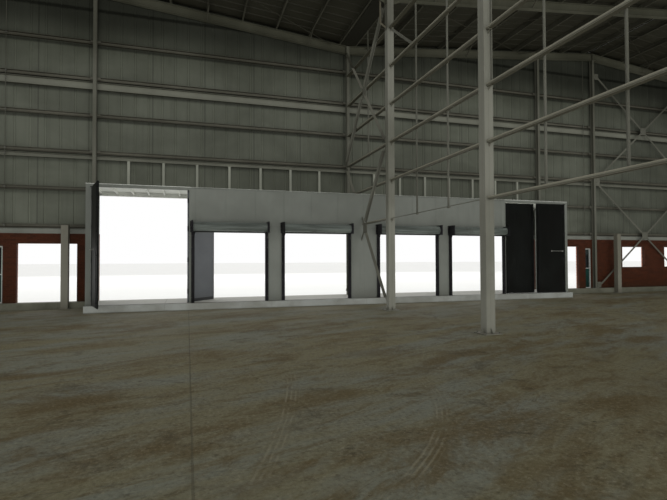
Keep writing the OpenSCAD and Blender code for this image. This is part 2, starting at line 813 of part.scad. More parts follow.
module door_jambs() {
    color([0.66, 0.67, 0.62]) both_sides() {
        wall_panel(door_x - jamb_w, door_x, datum, datum + panel_h);
        wall_panel(door_x + door_w, door_x + door_w + jamb_w, datum, datum + panel_h);
    }
}

module door_heads() {
    color([0.66, 0.67, 0.62]) both_sides()
        wall_panel(door_x, door_x + door_w, datum + door_h, datum + panel_h);
}

// A leaf that hangs from the origin and closes towards +X, with two sunk panels on each face
module leaf() {
    h = door_h - 2 * leaf_play;
    lock = h * lock_share - stile_w / 2;
    color([0.10, 0.11, 0.12]) translate([0, 0, datum + leaf_play]) {
        cylinder(r = hinge_r, h = h, $fn = 32);
        difference() {
            translate([0, -leaf_t / 2, 0]) cube([leaf_len, leaf_t, h]);
            for (side = [-1, 1], span = [[stile_w, lock], [lock + stile_w, h - stile_w]])
                translate([stile_w, side * leaf_t / 2 - sunk, span[0]])
                    cube([leaf_len - 2 * stile_w, 2 * sunk, span[1] - span[0]]);
        }
    }
}

outer_hinge = [door_x + door_w - hinge_in, wall_in - hinge_in];
inner_hinge = [door_x + hinge_in, wall_out + hinge_in];

// Floor bearings and top brackets that carry the leaves
module door_pivots() {
    reach = hinge_in + hinge_r;
    head = datum + door_h - leaf_play;
    color([0.30, 0.31, 0.31]) both_sides() {
        for (axis = [outer_hinge, inner_hinge])
            translate([axis[0], axis[1], datum]) cylinder(r = hinge_r, h = leaf_play - seat);
        translate([outer_hinge[0] - hinge_r, wall_in - reach, head + seat])
            cube([reach + hinge_r, reach, leaf_play]);
        translate([inner_hinge[0] - reach, wall_out, head + seat])
            cube([reach + hinge_r, reach, leaf_play]);
    }
}

module left_outer_leaf() {
    translate([-outer_hinge[0], outer_hinge[1], 0]) rotate(-left_outer_open) leaf();
}

module left_inner_leaf() {
    translate([-inner_hinge[0], inner_hinge[1], 0]) rotate(180 - left_inner_open) leaf();
}

module right_inner_leaf() {
    translate([inner_hinge[0], inner_hinge[1], 0]) leaf();
}

module right_outer_leaf() {
    translate([outer_hinge[0], outer_hinge[1], 0]) rotate(180) leaf();
}

shutter_xs = [inner_shutter_x, outer_shutter_x];
curtain_y = wall_in - curtain_t / 2 - 2 * rail_t;

// Channels that the curtains run in, their open sides to each other
module shutter_guides() {
    color([0.06, 0.06, 0.06]) both_sides() for (x = shutter_xs)
        translate([x, curtain_y - guide_d / 2, datum]) linear_extrude(shutter_h) {
            polygon(channel_profile(guide_w, guide_d, rail_t));
            translate([shutter_w, 0]) mirror([1, 0])
                polygon(channel_profile(guide_w, guide_d, rail_t));
        }
}

module shutter_brackets() {
    color([0.06, 0.06, 0.06]) both_sides() for (x = shutter_xs, at = [0, shutter_w - guide_w / 2])
        translate([x + at, wall_in - bracket_s, datum + shutter_h])
            cube([guide_w / 2, bracket_s, bracket_s]);
}

// Each curtain is rolled up, and only its foot bar still hangs down
module shutter_rolls() {
    low = datum + shutter_h;
    axis_z = low + bracket_s / 2;
    width = shutter_w - guide_w - 2 * seat;
    color([0.27, 0.29, 0.30]) both_sides() for (x = shutter_xs) {
        translate([x + guide_w / 2 + seat, curtain_y - curtain_t / 2 - seat - roll_r, axis_z])
            rotate([0, 90, 0]) cylinder(r = roll_r, h = width, $fn = 48);
        translate([x + guide_w / 2 + seat, curtain_y - curtain_t / 2, low]) {
            cube([width, curtain_t, axis_z - low]);
            translate([0, -curtain_t / 2, 0]) cube([width, 2 * curtain_t, bar_h]);
        }
    }
}

module side_light_frames() {
    color([0.74, 0.76, 0.74]) both_sides()
        translate([light_x, gable_y + gable_rail + brick_t / 4, datum]) difference() {
            cube([light_w, brick_t / 2, light_h]);
            translate([light_bar, -1, light_bar])
                cube([light_w - 2 * light_bar, brick_t, light_h - 2 * light_bar]);
        }
}

// A solid lower panel and a pane of glass over it
module side_light_panels() {
    wide = light_w - 2 * light_bar;
    color([0.02, 0.28, 0.27]) both_sides()
        translate([light_x + light_bar, gable_y + gable_rail + brick_t / 2, datum + light_bar]) {
            cube([wide, sheet_t, light_panel_h]);
            translate([0, 0, light_panel_h + kerb_joint])
                cube([wide, sheet_t, light_h - 2 * light_bar - light_panel_h - kerb_joint]);
        }
}

floor_slab();
dock_slab();
kerb();
front_brick();
back_brick();
side_brick();
dado_beams();
gable_beams();
front_cladding();
over_dock_cladding();
back_cladding();
side_cladding();
roof_left_outer();
roof_left_inner();
roof_right_inner();
roof_right_outer();
ridge_caps();
valley_gutter();
eaves_gutters();
downpipes();
edge_trims();
valley_columns();
side_columns();
gable_posts();
outer_rafters();
inner_rafters();
purlins_left();
purlins_right();
front_girts();
back_girts();
side_girts();
valley_girts();
sag_rods();
gable_bracing();
valley_bracing();
dado_posts();
dock_piers();
dock_header();
dock_cheeks();
dock_deck();
dock_joists();
dock_lintel();
dock_studs();
door_jambs();
door_heads();
door_pivots();
left_outer_leaf();
left_inner_leaf();
right_inner_leaf();
right_outer_leaf();
shutter_guides();
shutter_rolls();
shutter_brackets();
side_light_frames();
side_light_panels();
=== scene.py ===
import math

import bmesh
import bpy
from mathutils import Matrix, Vector


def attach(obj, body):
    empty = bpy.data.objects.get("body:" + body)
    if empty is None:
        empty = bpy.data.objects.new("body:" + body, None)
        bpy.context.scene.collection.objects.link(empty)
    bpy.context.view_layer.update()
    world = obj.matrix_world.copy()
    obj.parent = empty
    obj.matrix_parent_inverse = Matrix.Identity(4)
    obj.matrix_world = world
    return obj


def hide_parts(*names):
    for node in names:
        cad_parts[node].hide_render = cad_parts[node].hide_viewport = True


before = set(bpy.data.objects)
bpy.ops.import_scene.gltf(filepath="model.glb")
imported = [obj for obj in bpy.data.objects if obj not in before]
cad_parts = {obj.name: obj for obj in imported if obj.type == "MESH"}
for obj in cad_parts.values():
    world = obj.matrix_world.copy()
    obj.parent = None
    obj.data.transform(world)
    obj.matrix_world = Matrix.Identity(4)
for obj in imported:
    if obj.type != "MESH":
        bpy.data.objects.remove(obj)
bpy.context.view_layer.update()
print("frame loaded:", len(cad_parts), "nodes")

# Main places of the hall, in metres, as the CAD has them
hall = {
    "frames": [-8.35, -5.93, -2.965, 0.0, 2.965, 5.93, 8.35],
    "datum": 0.2, "floor": 0.075, "span": 14.5, "ridge": 7.25, "eaves": 5.94, "pitch": 0.1,
    "rails": [1.7, 2.45, 3.2, 3.95, 4.7, 5.45],
    "valleyRails": [1.77, 2.48, 3.19, 3.90, 4.61, 5.32],
    "posts": [0.0, 5.388, 7.25, 10.84], "postHalf": 0.0325, "columnHalf": 0.0625,
    "outX": 14.6875, "sheetX": 14.6375, "rafterDepth": 0.175,
    "purlinFirst": 0.19, "purlinGap": 0.75, "purlins": 10, "purlinDepth": 0.1,
    "brickTop": 1.55, "brickThick": 0.1, "cheek": 5.305, "wallIn": 7.325,
    "gable": 8.35, "gableRail": 8.4, "gableSheet": 8.45, "sideRail": 14.5875,
}
innerFrames = hall["frames"][1:-1]


def rafterZ(x):
    return hall["eaves"] + hall["pitch"] * (hall["ridge"] - abs(abs(x) - hall["ridge"]))


def about(middle, half):
    return middle - half, middle + half


def middles(start, end, count):
    # the middles of equal parts of a stretch
    return [start + (end - start) * (k + 0.5) / count for k in range(count)]


# The camera stands in the left span and looks to the right, at the loading gable
camera = {"place": (-3.6, -2.17, 1.0), "turn": 17.11, "tilt": 1.24, "roll": -0.225,
          "lens": 25.66, "sensor": 36.0}


def setCamera():
    data = bpy.data.cameras.new("camera")
    data.lens, data.sensor_width = camera["lens"], camera["sensor"]
    data.clip_start, data.clip_end = 0.05, 300
    eye = bpy.data.objects.new("camera", data)
    bpy.context.scene.collection.objects.link(eye)
    turn = (Matrix.Rotation(math.radians(-camera["turn"]), 4, "Z")
            @ Matrix.Rotation(math.radians(90 + camera["tilt"]), 4, "X")
            @ Matrix.Rotation(math.radians(camera["roll"]), 4, "Z"))
    eye.matrix_world = Matrix.Translation(camera["place"]) @ turn
    bpy.context.scene.camera = eye


setCamera()
bpy.context.scene.view_settings.view_transform = "Standard"
print("camera set")


def tone(screen):
    # colours are given as they are read off a screen, 0 to 255, and shaders want linear ones
    shares = [part / 255 for part in screen]
    return tuple(s / 12.92 if s <= 0.04045 else ((s + 0.055) / 1.055) ** 2.4 for s in shares)


def joinTo(value, socket):
    if isinstance(value, Reading):
        socket.id_data.links.new(value.socket, socket)
    elif socket.type == "RGBA":
        socket.default_value = (*tone(value), 1.0)
    else:
        socket.default_value = value


def sumOf(operation, swapped=False):
    return lambda self, other=0.0: self.step(operation, other, swapped)


class Reading:
    # a socket of a material, so that sums can be written as they are read; a | b is the greater
    def __init__(self, socket):
        self.socket = socket

    def step(self, operation, other=0.0, swapped=False):
        sums = self.socket.id_data.nodes.new("ShaderNodeMath")
        sums.operation = operation
        for value, socket in zip((other, self) if swapped else (self, other), sums.inputs):
            joinTo(value, socket)
        return Reading(sums.outputs[0])

    __add__ = __radd__ = sumOf("ADD")
    __mul__ = __rmul__ = sumOf("MULTIPLY")
    __sub__ = sumOf("SUBTRACT")
    __rsub__ = sumOf("SUBTRACT", True)
    __truediv__ = sumOf("DIVIDE")
    __or__ = sumOf("MAXIMUM")
    __abs__ = sumOf("ABSOLUTE")


finishes = {}


class Finish:
    # a material in the making, with a colour that is built up in coats, and the CAD nodes
    # that wear it
    def __init__(self, name, nodes="", **plain):
        finishes[name] = bpy.data.materials.new(name)
        finishes[name].use_nodes = True
        self.tree = finishes[name].node_tree
        self.feed(**plain)
        for node in nodes.split():
            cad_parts[node].data.materials.clear()
            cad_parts[node].data.materials.append(finishes[name])
        # where a point is in the hall's own frame, and how its face is turned
        self.spot = self.node("ShaderNodeTexCoord", out="Object")
        self.x, self.y, self.z = self.split(self.spot)
        self.nx, self.ny, self.nz = self.split(self.node("ShaderNodeTexCoord", out="Normal"))
        self.colour = None

    def node(self, kind, settings=None, sockets=None, out=0):
        made = self.tree.nodes.new(kind)
        for word, value in (settings or {}).items():
            setattr(made, word, value)
        for word, value in (sockets or {}).items():
            joinTo(value, made.inputs[word])
        return Reading(made.outputs[out])

    def split(self, vector):
        return [self.node("ShaderNodeSeparateXYZ", sockets={0: vector}, out=i) for i in range(3)]

    def join(self, x, y, z):
        return self.node("ShaderNodeCombineXYZ", sockets={0: x, 1: y, 2: z})

    def noise(self, scale, detail=3.0, stretch=(1, 1, 1), rough=0.55, shift=0.0, warp=0.0,
              turn=0.0):
        place = self.spot
        if turn:  # degrees about the upright, so that streaks run slanting over a floor
            place = self.node("ShaderNodeVectorRotate", {"rotation_type": "Z_AXIS"},
                              {"Vector": place, "Angle": math.radians(-turn)})
        place = self.node("ShaderNodeMapping", {"vector_type": "POINT"},
                          {"Vector": place, "Scale": stretch,
                           "Location": (shift, shift * 0.7, -shift)})
        return self.node("ShaderNodeTexNoise", {"noise_dimensions": "3D"},
                         {"Vector": place, "Scale": scale, "Detail": detail, "Roughness": rough,
                          "Distortion": warp})

    def mask(self, value, low, high):
        return self.node("ShaderNodeMapRange", {"interpolation_type": "SMOOTHSTEP"},
                         {"Value": value, "From Min": low, "From Max": high})

    def spots(self, low, high, *noise, **more):
        # 1 where a noise is over high, 0 where it is under low
        return self.mask(self.noise(*noise, **more), low, high)

    def lines(self, value, pitch, width, soft):
        # 1 on lines that stand a pitch apart, 0 between them
        near = value.step("PINGPONG", pitch / 2)
        return 1 - self.mask(near, width / 2, width / 2 + soft)

    def tint(self, amount, first, second):
        return self.node("ShaderNodeMix", {"data_type": "RGBA"},
                         {0: amount, 6: first, 7: second}, out=2)

    def shade(self, colour, amount):
        return self.node("ShaderNodeVectorMath", {"operation": "SCALE"},
                         {0: colour, "Scale": amount})

    def base(self, first, second, low, high, *noise, **more):
        self.colour = self.tint(self.spots(low, high, *noise, **more), first, second)

    def coat(self, amount, colour):
        self.colour = self.tint(amount, self.colour, colour)

    def stain(self, colour, strength, low, high, *noise, **more):
        self.coat(self.spots(low, high, *noise, **more) * strength, colour)

    def dim(self, amount):
        self.colour = self.shade(self.colour, amount)

    def feed(self, **values):
        shader = self.tree.nodes["Principled BSDF"]
        for word, value in values.items():
            joinTo(value, shader.inputs[word.replace("_", " ")])

    def done(self, roughness, height, depth):
        dent = self.node("ShaderNodeBump", sockets={"Height": height, "Distance": depth})
        self.feed(Base_Color=self.colour, Roughness=roughness, Normal=dent)


# Floor: brown dust over grey concrete, with swept streaks, wheel marks and sawn joints
floorLook = {
    "dust": (94, 90, 68), "earth": (74, 63, 37), "grey": (95, 97, 85),
    "dark": (50, 44, 30), "pale": (126, 121, 102), "joint": (60, 57, 44),
    "edge": (150, 148, 140), "jointX": 3.6, "jointY": 4.175, "grit": 0.44,
    # streaks of dust lie along the way the floor was swept, a little off square to the gable
    "swept": (0.42, 0.60, 0.9, 9, (0.42, 1.7, 1), 0.66, 3.1, 0.4, 24),
    "stains": [  # colour, strength, where the noise starts and ends, and the noise
        ("earth", 0.85, 0.47, 0.62, 1.2, 12, (0.65, 1.25, 1), 0.74, 9.0, 0.4, 24),
        ("earth", 0.60, 0.50, 0.60, 3.6, 12, (0.5, 1.5, 1), 0.78, 21.0, 0.6, 24),
        ("dark", 0.55, 0.53, 0.68, 2.6, 10, (1, 1, 1), 0.74, 5.0, 1.0),
        ("pale", 0.40, 0.56, 0.72, 22, 8, (1, 1, 1), 0.7),
        ("dark", 0.45, 0.54, 0.64, 14, 9, (1, 1, 1), 0.75, 13.0)],
    # wheel marks: centre, radius, and the angles they run between
    "arcs": [((-4.43, 1.64), 2.615, -55, -10), ((-11.0, 3.02), 8.32, -26, -12)],
    "patches": [(-2.67, 0.97, 0.34), (-2.13, -0.40, 0.26), (-0.97, 0.18, 0.30),
                (-4.34, 1.32, 0.40), (-1.78, 2.24, 0.36), (-2.69, 2.40, 0.22)],
}


def dustyFloor():
    f, look = Finish("dusty_concrete", "floor_slab"), floorLook
    x, y = f.x, f.y

    def away(px, py, squash=1.0):
        dx, dy = x - px, (y - py) * squash
        return (dx * dx + dy * dy).step("SQRT")

    f.base(look["dust"], look["grey"], *look["swept"])
    for word, *stain in look["stains"]:
        f.stain(look[word], *stain)
    ragged = f.noise(5, 8, rough=0.65, shift=11.0)
    for px, py, reach in look["patches"]:
        near = away(px, py, 1.5) + ragged * 0.5
        f.coat((1 - f.mask(near, reach * 0.4 + 0.22, reach + 0.28)) * 0.55, look["earth"])
    # grit trodden into the dust, and crumbs of earth
    grit = f.noise(40, 8, rough=0.78, shift=17.0)
    f.coat(f.mask(grit, 0.52, 0.62) * look["grit"], look["dark"])
    f.coat((1 - f.mask(grit, 0.38, 0.48)) * look["grit"] * 0.7, look["pale"])
    crumbs = f.spots(0.69, 0.73, 34, 3, rough=0.5, shift=2.0)
    crumbs = crumbs * f.spots(0.48, 0.62, 1.3, 4, shift=7.0)
    f.coat(crumbs * 0.8, look["dark"])
    # the floor is painted darker away from the doorways and in the right span: painted shade where
    # less daylight reaches, with the dust lying thicker there too
    f.dim(1.10 - ((1 - f.mask(y, 0.9, 3.4)) * 0.15 + f.mask(x, -1.6, 0.6) * 0.09))
    # the strip before the doorways is painted paler: painted daylight falling in through them, and
    # the floor walked clean there
    f.coat(f.mask(y, 6.2, 7.3) * (1 - f.mask(abs(x), 5.0, 6.5)) * 0.45, look["pale"])
    joints = f.lines(x - 0.025, look["jointX"], 0.003, 0.006) * 0.6 \
        | f.lines(y, look["jointY"], 0.003, 0.006) * 0.25
    f.coat(joints * 0.75, look["joint"])
    ruts, soft = 0.0, math.radians(4)
    for centre, radius, start, end in look["arcs"]:
        off = away(*centre) - radius
        angle = (y - centre[1]).step("ARCTAN2", x - centre[0])
        start, end = math.radians(start), math.radians(end)
        along = f.mask(angle, start - soft, start) * (1 - f.mask(angle, end, end + soft))
        band = (1 - f.mask(abs(off), 0.045, 0.060)) * along
        tread = f.lines(off + (ragged - 0.5) * 0.02, 0.030, 0.004, 0.008) * band \
            * f.mask(ragged, 0.40, 0.58)
        f.coat(band * 0.15, look["earth"])
        f.coat(tread * 0.32, look["pale"])
        ruts = tread + ruts
    f.coat((f.mask(abs(x), 14.60, 14.68) | f.mask(abs(y), 8.42, 8.5)) * 0.8, look["edge"])
    grain, fine = f.noise(22, 8, rough=0.7), f.noise(90, 4, rough=0.7)
    height = grain * 0.5 + fine * 0.25 - joints * 1.4 + ruts * 0.5 + crumbs
    f.done(0.72 + grain * 0.25, height, 0.004)


def castConcrete(name, nodes, light, dark, edge):
    f = Finish(name, nodes)
    x, y, top = f.x, f.y, f.mask(f.nz, 0.5, 0.9)
    grain = f.noise(30, 6, rough=0.65)
    f.base(dark, light, 0.35, 0.68, 1.4, 6, rough=0.6)
    f.coat(top * f.spots(0.45, 0.65, 2.2, 6, shift=4.0) * 0.5, (86, 78, 60))
    f.coat(f.mask(grain, 0.62, 0.74) * 0.4, edge)
    outside = f.mask(abs(y), 8.44, 8.47) | f.mask(abs(x), 14.62, 14.66)
    # outside the walls, and beyond the panel wall where the slab lies in daylight, the concrete is
    # painted pale: painted daylight on it
    bay = f.mask(y, 7.36, 7.40) * (1 - f.mask(abs(x), 5.30, 5.36)) * top
    f.coat(outside * 0.75 | bay * 0.9, (176, 175, 168))
    joints = f.lines(x, 2.0, 0.005, 0.004) * f.mask(abs(y), 7.0, 7.1)
    f.coat(joints * 0.7, dark)
    f.done(0.7 + grain * 0.25, grain * 0.6 - joints, 0.003)


# Bricks lie in courses of 37.5 mm, which is 75 mm on the real wall
brickLook = {
    "length": 0.1125, "course": 0.0375, "courses": 36, "joint": 0.005, "proud": 0.002,
    "foot": 0.2, "least": 0.015, "slack": 0.01,
    # the inner colours are the same bricks and mortar painted dark: painted shade of the dim hall
    "inner": [(62, 28, 12), (47, 21, 9), (55, 40, 28)],
    "outer": [(190, 112, 80), (150, 80, 57), (186, 174, 158)],
}


def outwardness(f, along):
    # how far a face looks out of the hall: 1 is straight out, -1 straight in
    if along == "roof":
        return f.nz
    return f.ny * f.y.step("SIGN") if along == "x" else f.nx * f.x.step("SIGN")


def brickWear(f, outer, inside, outside):
    # splashes of earth along the foot, a pale bloom higher up
    foot = (1 - f.mask(f.z + f.noise(3, 4) * 0.25, 0.28, 0.55)) * 0.45
    f.coat(foot, f.tint(outer, inside, outside))
    f.coat(f.spots(0.58, 0.75, 1.1, 6, shift=8.0) * 0.18 * outer, (206, 196, 184))


def mortarBed(name, nodes, along):
    # the wall behind the bricks, with bricks drawn only in the reveals of its openings
    f, look = Finish(name, nodes), brickLook
    outward = outwardness(f, along)
    outer = f.mask(outward, -0.05, 0.05)
    place = f.join((f.x + f.y) * 10, (f.z - look["foot"]) * 10, 0.0)

    def wall(first, second, mortar):
        return f.node("ShaderNodeTexBrick", {"offset": 0.5}, {
            "Vector": place, "Color1": first, "Color2": second, "Mortar": mortar, "Scale": 1.0,
            "Mortar Size": look["joint"] * 5, "Mortar Smooth": 0.25, "Bias": 0.0,
            "Brick Width": look["length"] * 10, "Row Height": look["course"] * 10})

    lit = f.mask(abs(f.y), 8.46, 8.49) if along == "x" else f.mask(abs(f.x), 14.64, 14.67)
    # faces looking into the hall take the dark inner colours: painted shade
    f.colour = f.tint(outer, look["inner"][2], look["outer"][2])
    reveal = f.tint(lit, wall(*look["inner"]), wall(*look["outer"]))
    f.colour = f.tint(1 - f.mask(abs(outward), 0.3, 0.6), f.colour, reveal)
    # the earth on the inside faces is painted darker too: painted shade
    brickWear(f, outer, (52, 41, 28), (140, 122, 100))
    grain = f.noise(60, 5, rough=0.65)
    f.done(0.88 + grain * 0.1, grain, 0.002)


def brickFace(name, along):
    f, look = Finish(name), brickLook
    outer = f.mask(outwardness(f, along), -0.05, 0.05)
    # a number of its own for each brick, from its course and its place along it
    course = ((f.z - look["foot"]) / look["course"]).step("FLOOR")
    shift = course.step("MODULO", 2.0) * (look["length"] / 2)
    cell = (((f.x if along == "x" else f.y) - shift) / look["length"]).step("FLOOR")
    own = f.node("ShaderNodeTexWhiteNoise", {"noise_dimensions": "2D"},
                 {"Vector": f.join(cell, course, 0.0)})
    # faces looking into the hall take the dark inner bricks: painted shade
    f.colour = f.tint(outer, f.tint(own, *look["inner"][:2]), f.tint(own, *look["outer"][:2]))
    f.dim(0.82 + f.noise(6, 5, shift=1.0) * 0.36)
    # the earth on the inside faces is painted darker too: painted shade
    brickWear(f, outer, (52, 38, 26), (146, 112, 86))
    grain = f.noise(75, 5, rough=0.65)
    f.done(0.80 + grain * 0.15, grain, 0.0012)


# Sheets are white outside and stained inside; their dull green-grey inside colour is painted shade
# of the dim hall on the same white sheet
sheetLook = {
    "inner": (80, 83, 72), "stain": (63, 65, 56), "pale": (92, 95, 84),
    "seam": (46, 47, 41), "outer": (226, 231, 230), "grime": (186, 187, 178),
    "screw": (120, 122, 120), "seamPitch": 1.06, "seamStart": -0.06, "ribPitch": 0.265,
    # how far under the middle of each rail the painted shadow lies, and the feet of the beams that
    # cast painted shadows
    "railPitch": 0.75, "railShadowDrop": 0.880, "beamFeet": [3.0575, 4.4825],
}


def ribbedSheet(name, nodes, along, **other):
    f, look = Finish(name, nodes), {**sheetLook, **other}
    x, y, z, roof = f.x, f.y, f.z, along == "roof"
    run = x if along == "x" else y
    outer = f.mask(outwardness(f, along), -0.05, 0.05)
    streaks = f.noise(1.2, 5, (0.35, 9, 9) if roof else (7, 7, 0.45), 0.6)
    f.base(look["stain"], look["pale"], 0.36, 0.66, 0.55, 5, (1, 1, 1.6), 0.6, 6.0, 0.4)
    f.coat(0.55, look["inner"])
    f.coat(f.mask(streaks, 0.46, 0.66) * 0.25, look["stain"])
    seams = f.lines(run - look["seamStart"], look["seamPitch"], 0.010, 0.012)
    f.coat(seams * 0.55, look["seam"])
    # each sheet came out of the mill in its own shade
    sheet = ((run - look["seamStart"]) / look["seamPitch"]).step("FLOOR")
    own = f.node("ShaderNodeTexWhiteNoise", {"noise_dimensions": "1D"}, {"W": sheet})
    f.dim(0.95 + own * 0.10)
    white = f.tint(f.mask(streaks, 0.50, 0.72) * 0.35, look["outer"], look["grime"])
    white = f.tint(f.spots(0.55, 0.75, 1.0, 6, shift=3.0) * 0.25, white, look["grime"])
    if not roof:
        # the rib hollows are painted lighter against the shade in them; painted shadow lies below
        # each rail and beam, and painted shade darkens the wall high under the roof
        depth = abs(y) - hall["gableSheet"] if along == "x" else abs(x) - hall["sheetX"]
        f.dim(1 + f.mask(depth, 0.0005, 0.005) * 0.18)
        below = f.lines(z - look["railShadowDrop"], look["railPitch"], 0.030, 0.040)
        for foot in look["beamFeet"]:
            below = below | f.mask(z, foot - 0.10, foot - 0.03) \
                * (1 - f.mask(z, foot + 0.05, foot + 0.07))
        f.dim(1 - below * (0.22 + f.mask(z, 2.2, 4.2) * 0.38))
        f.dim(1 - f.mask(z, 5.2, 6.0) * 0.66)
        # painted light low on the left of the hall, painted shade far to the right
        left = (1 - f.mask(z, 2.4, 3.6)) * (1 - f.mask(x, -6, 2))
        f.dim(1 + left * 0.12 - f.mask(x, 5.5, 9.5) * 0.24)
        white = f.tint((1 - f.mask(z + streaks * 0.5, 1.65, 2.35)) * 0.5, white, look["grime"])
    white = f.shade(white, 0.97 + own * 0.03)
    # screws sit in the pans, on every rail
    screws = f.lines(run - look["ribPitch"] / 2, look["ribPitch"], 0.007, 0.003) \
        * f.lines(x - 0.19 if roof else z - 0.2, look["railPitch"], 0.007, 0.003) * outer
    # outside faces take the white; the green-grey on the inside faces is painted shade
    f.coat(outer, f.tint(screws * 0.8, white, look["screw"]))
    ripple = f.noise(2.0, 2, shift=2.0)
    f.done(0.42 + streaks * 0.3, ripple * 0.4 - seams * 0.7 + screws * 1.5, 0.0025)


def steelPaint(name, nodes, light, dark, dust, rust, seam=None, lit=None, low=None,
               shadedInside=None, shadeAndHighlightBands=()):
    f = Finish(name, nodes)
    x, y, z = f.x, f.y, f.z
    grain = f.noise(26, 6, rough=0.65)
    f.base(dark, light, 0.34, 0.66, 1.1, 5, (1, 1, 0.6))
    f.stain(dark, 0.25, 0.52, 0.70, 3.2, 5, (6, 6, 0.5), shift=2.0)
    f.coat(f.mask(f.nz, 0.4, 0.9) * dust, (92, 84, 66))
    spots = f.spots(0.64, 0.70, 9, 9, rough=0.7, shift=4.0) * f.spots(0.45, 0.62, 0.8, 3, shift=9.0)
    f.coat(spots * rust, (92, 60, 38))
    scuffs = f.spots(0.62, 0.70, 5, 6, (1, 1, 3), shift=6.0) * (1 - f.mask(z, 0.5, 2.2))
    f.coat(scuffs * 0.35, dark)
    height = grain * 0.3 - spots * 0.4
    if lit is not None:  # brighter right of this place
        f.dim(1.0 + f.mask(x, lit, lit + 0.2) * 0.20)
    if low is not None:  # the underside is painted darker than the sides: painted shade
        f.coat(f.mask(f.nz * -1.0, 0.4, 0.9), low)
    # painted shade and painted highlight in level stripes along a rail, from some distance off the
    # middle of the hall
    for start, pitch, width, soft, beyond, strength, colour in shadeAndHighlightBands:
        band = f.lines(z - start, pitch, width, soft) * f.mask(abs(y), beyond, beyond + 0.1)
        f.coat(band * strength, colour)
    if shadedInside is not None:  # the same part is painted darker inside the hall: painted shade
        inside = (1 - f.mask(abs(x), 14.56, 14.62)) * (1 - f.mask(abs(y), 8.40, 8.44))
        f.coat(inside, shadedInside)
    if seam is not None:  # weld line along the middle of a box column
        weld = f.lines(x, 50, 0.004, 0.003) | f.lines(y, seam, 0.004, 0.003)
        f.coat(weld * 0.55, dark)
        height = height + weld * 0.8
    f.done(0.5 + grain * 0.25 + spots * 0.2, height, 0.0016)


# Flat coated panels with fine upright joints and one level joint
panelLook = {"light": (105, 108, 101), "dark": (95, 98, 91), "outer": (200, 203, 198),
             "earth": (84, 76, 60), "pitch": 0.575, "level": 1.675}


def smoothPanel(name, nodes):
    f, look = Finish(name, nodes), panelLook
    f.base(look["dark"], look["light"], 0.35, 0.65, 0.9, 5)
    smear = f.spots(0.50, 0.70, 2.0, 6, (3, 3, 0.6), shift=3.0) * 0.30
    f.coat(smear, look["dark"])
    fine = f.lines(f.x, look["pitch"], 0.003, 0.003) \
        | f.lines(f.z - look["level"], 60, 0.004, 0.003)
    f.coat((1 - f.mask(f.z + smear, 0.22, 0.50)) * 0.1, look["earth"])
    # faces turned out towards the bay take the pale outer colour: painted daylight
    f.coat(f.mask(f.ny, 0.4, 0.6), look["outer"])
    f.coat(fine * 0.22, f.shade(tone(look["dark"]), 0.7))
    grain = f.noise(40, 4)
    f.done(0.48 + smear * 0.4 + grain * 0.1, grain * 0.12 - fine, 0.0015)


def blackPaint(name, nodes, light, dark, shine, dust):
    f = Finish(name, nodes)
    cloud, grain = f.noise(1.6, 6), f.noise(45, 5)
    f.colour = f.tint(f.mask(cloud, 0.35, 0.65), dark, light)
    rubs = f.spots(0.62, 0.74, 7, 8, (1, 1, 0.35), 0.7, 5.0)
    f.coat(rubs * 0.25, (48, 47, 43))
    f.coat(f.mask(f.nz, 0.4, 0.9) * dust, (84, 78, 64))
    f.done(shine + cloud * 0.15 + rubs * 0.2, grain * 0.25 + cloud * 0.6, 0.0012)


def slatSteel(name, nodes, dark, light):
    f = Finish(name, nodes, Metallic=0.25)
    f.base(dark, light, 0.34, 0.66, 2.2, 5, (0.5, 6, 6))
    grime = f.spots(0.55, 0.72, 3.5, 8, shift=4.0) * 0.4
    f.coat(grime, (56, 52, 42))
    f.done(0.38 + grime * 0.5, f.noise(40, 4), 0.0006)


def lightPanels(name, nodes):
    # the teal panel below, dark glass above it
    f = Finish(name, nodes)
    glass, cloud = f.mask(f.z, 0.748, 0.756), f.noise(3.0, 5)
    f.colour = f.tint(f.mask(cloud, 0.35, 0.65), (9, 36, 32), (16, 52, 46))
    f.coat(glass, f.tint(f.mask(cloud, 0.40, 0.70), (20, 24, 24), (44, 50, 48)))
    smear = f.noise(6, 5, (1, 1, 0.4), shift=3.0)
    f.done(0.42 - glass * 0.26 + smear * 0.12, smear, 0.0006)


def galvanised(name, nodes, light, dark):
    f = Finish(name, nodes, Metallic=0.45)
    flakes = f.node("ShaderNodeTexVoronoi", {"feature": "F1"}, {"Vector": f.spot, "Scale": 160.0},
                    "Color")
    grey = f.node("ShaderNodeRGBToBW", sockets={0: flakes})
    f.colour = f.tint(grey, dark, light)
    spots = f.spots(0.60, 0.70, 18, 6)
    f.coat(spots * 0.4, (86, 66, 46))
    f.done(0.42 + spots * 0.3, grey * 0.3 + spots, 0.0006)


dustyFloor()
castConcrete("dock_concrete", "dock_slab", (128, 131, 126), (108, 109, 102), (80, 80, 72))
castConcrete("kerb_concrete", "kerb", (104, 104, 91), (84, 84, 72), (60, 60, 51))
for wall, along, walls, sheets in (
        ("gable", "x", "front_brick back_brick", "front_cladding over_dock_cladding back_cladding"),
        ("side", "y", "side_brick", "side_cladding")):
    mortarBed(wall + "_mortar", walls, along)
    brickFace(wall + "_brick", along)
    ribbedSheet(wall + "_sheet", sheets, along)
# the roof is painted darker still inside: painted shade under the roof
ribbedSheet("roof_sheet", "roof_left_outer roof_left_inner roof_right_inner roof_right_outer",
            "roof", inner=(45, 44, 35), stain=(36, 35, 27), pale=(52, 51, 42),
            seam=(28, 27, 21), outer=(210, 214, 212))
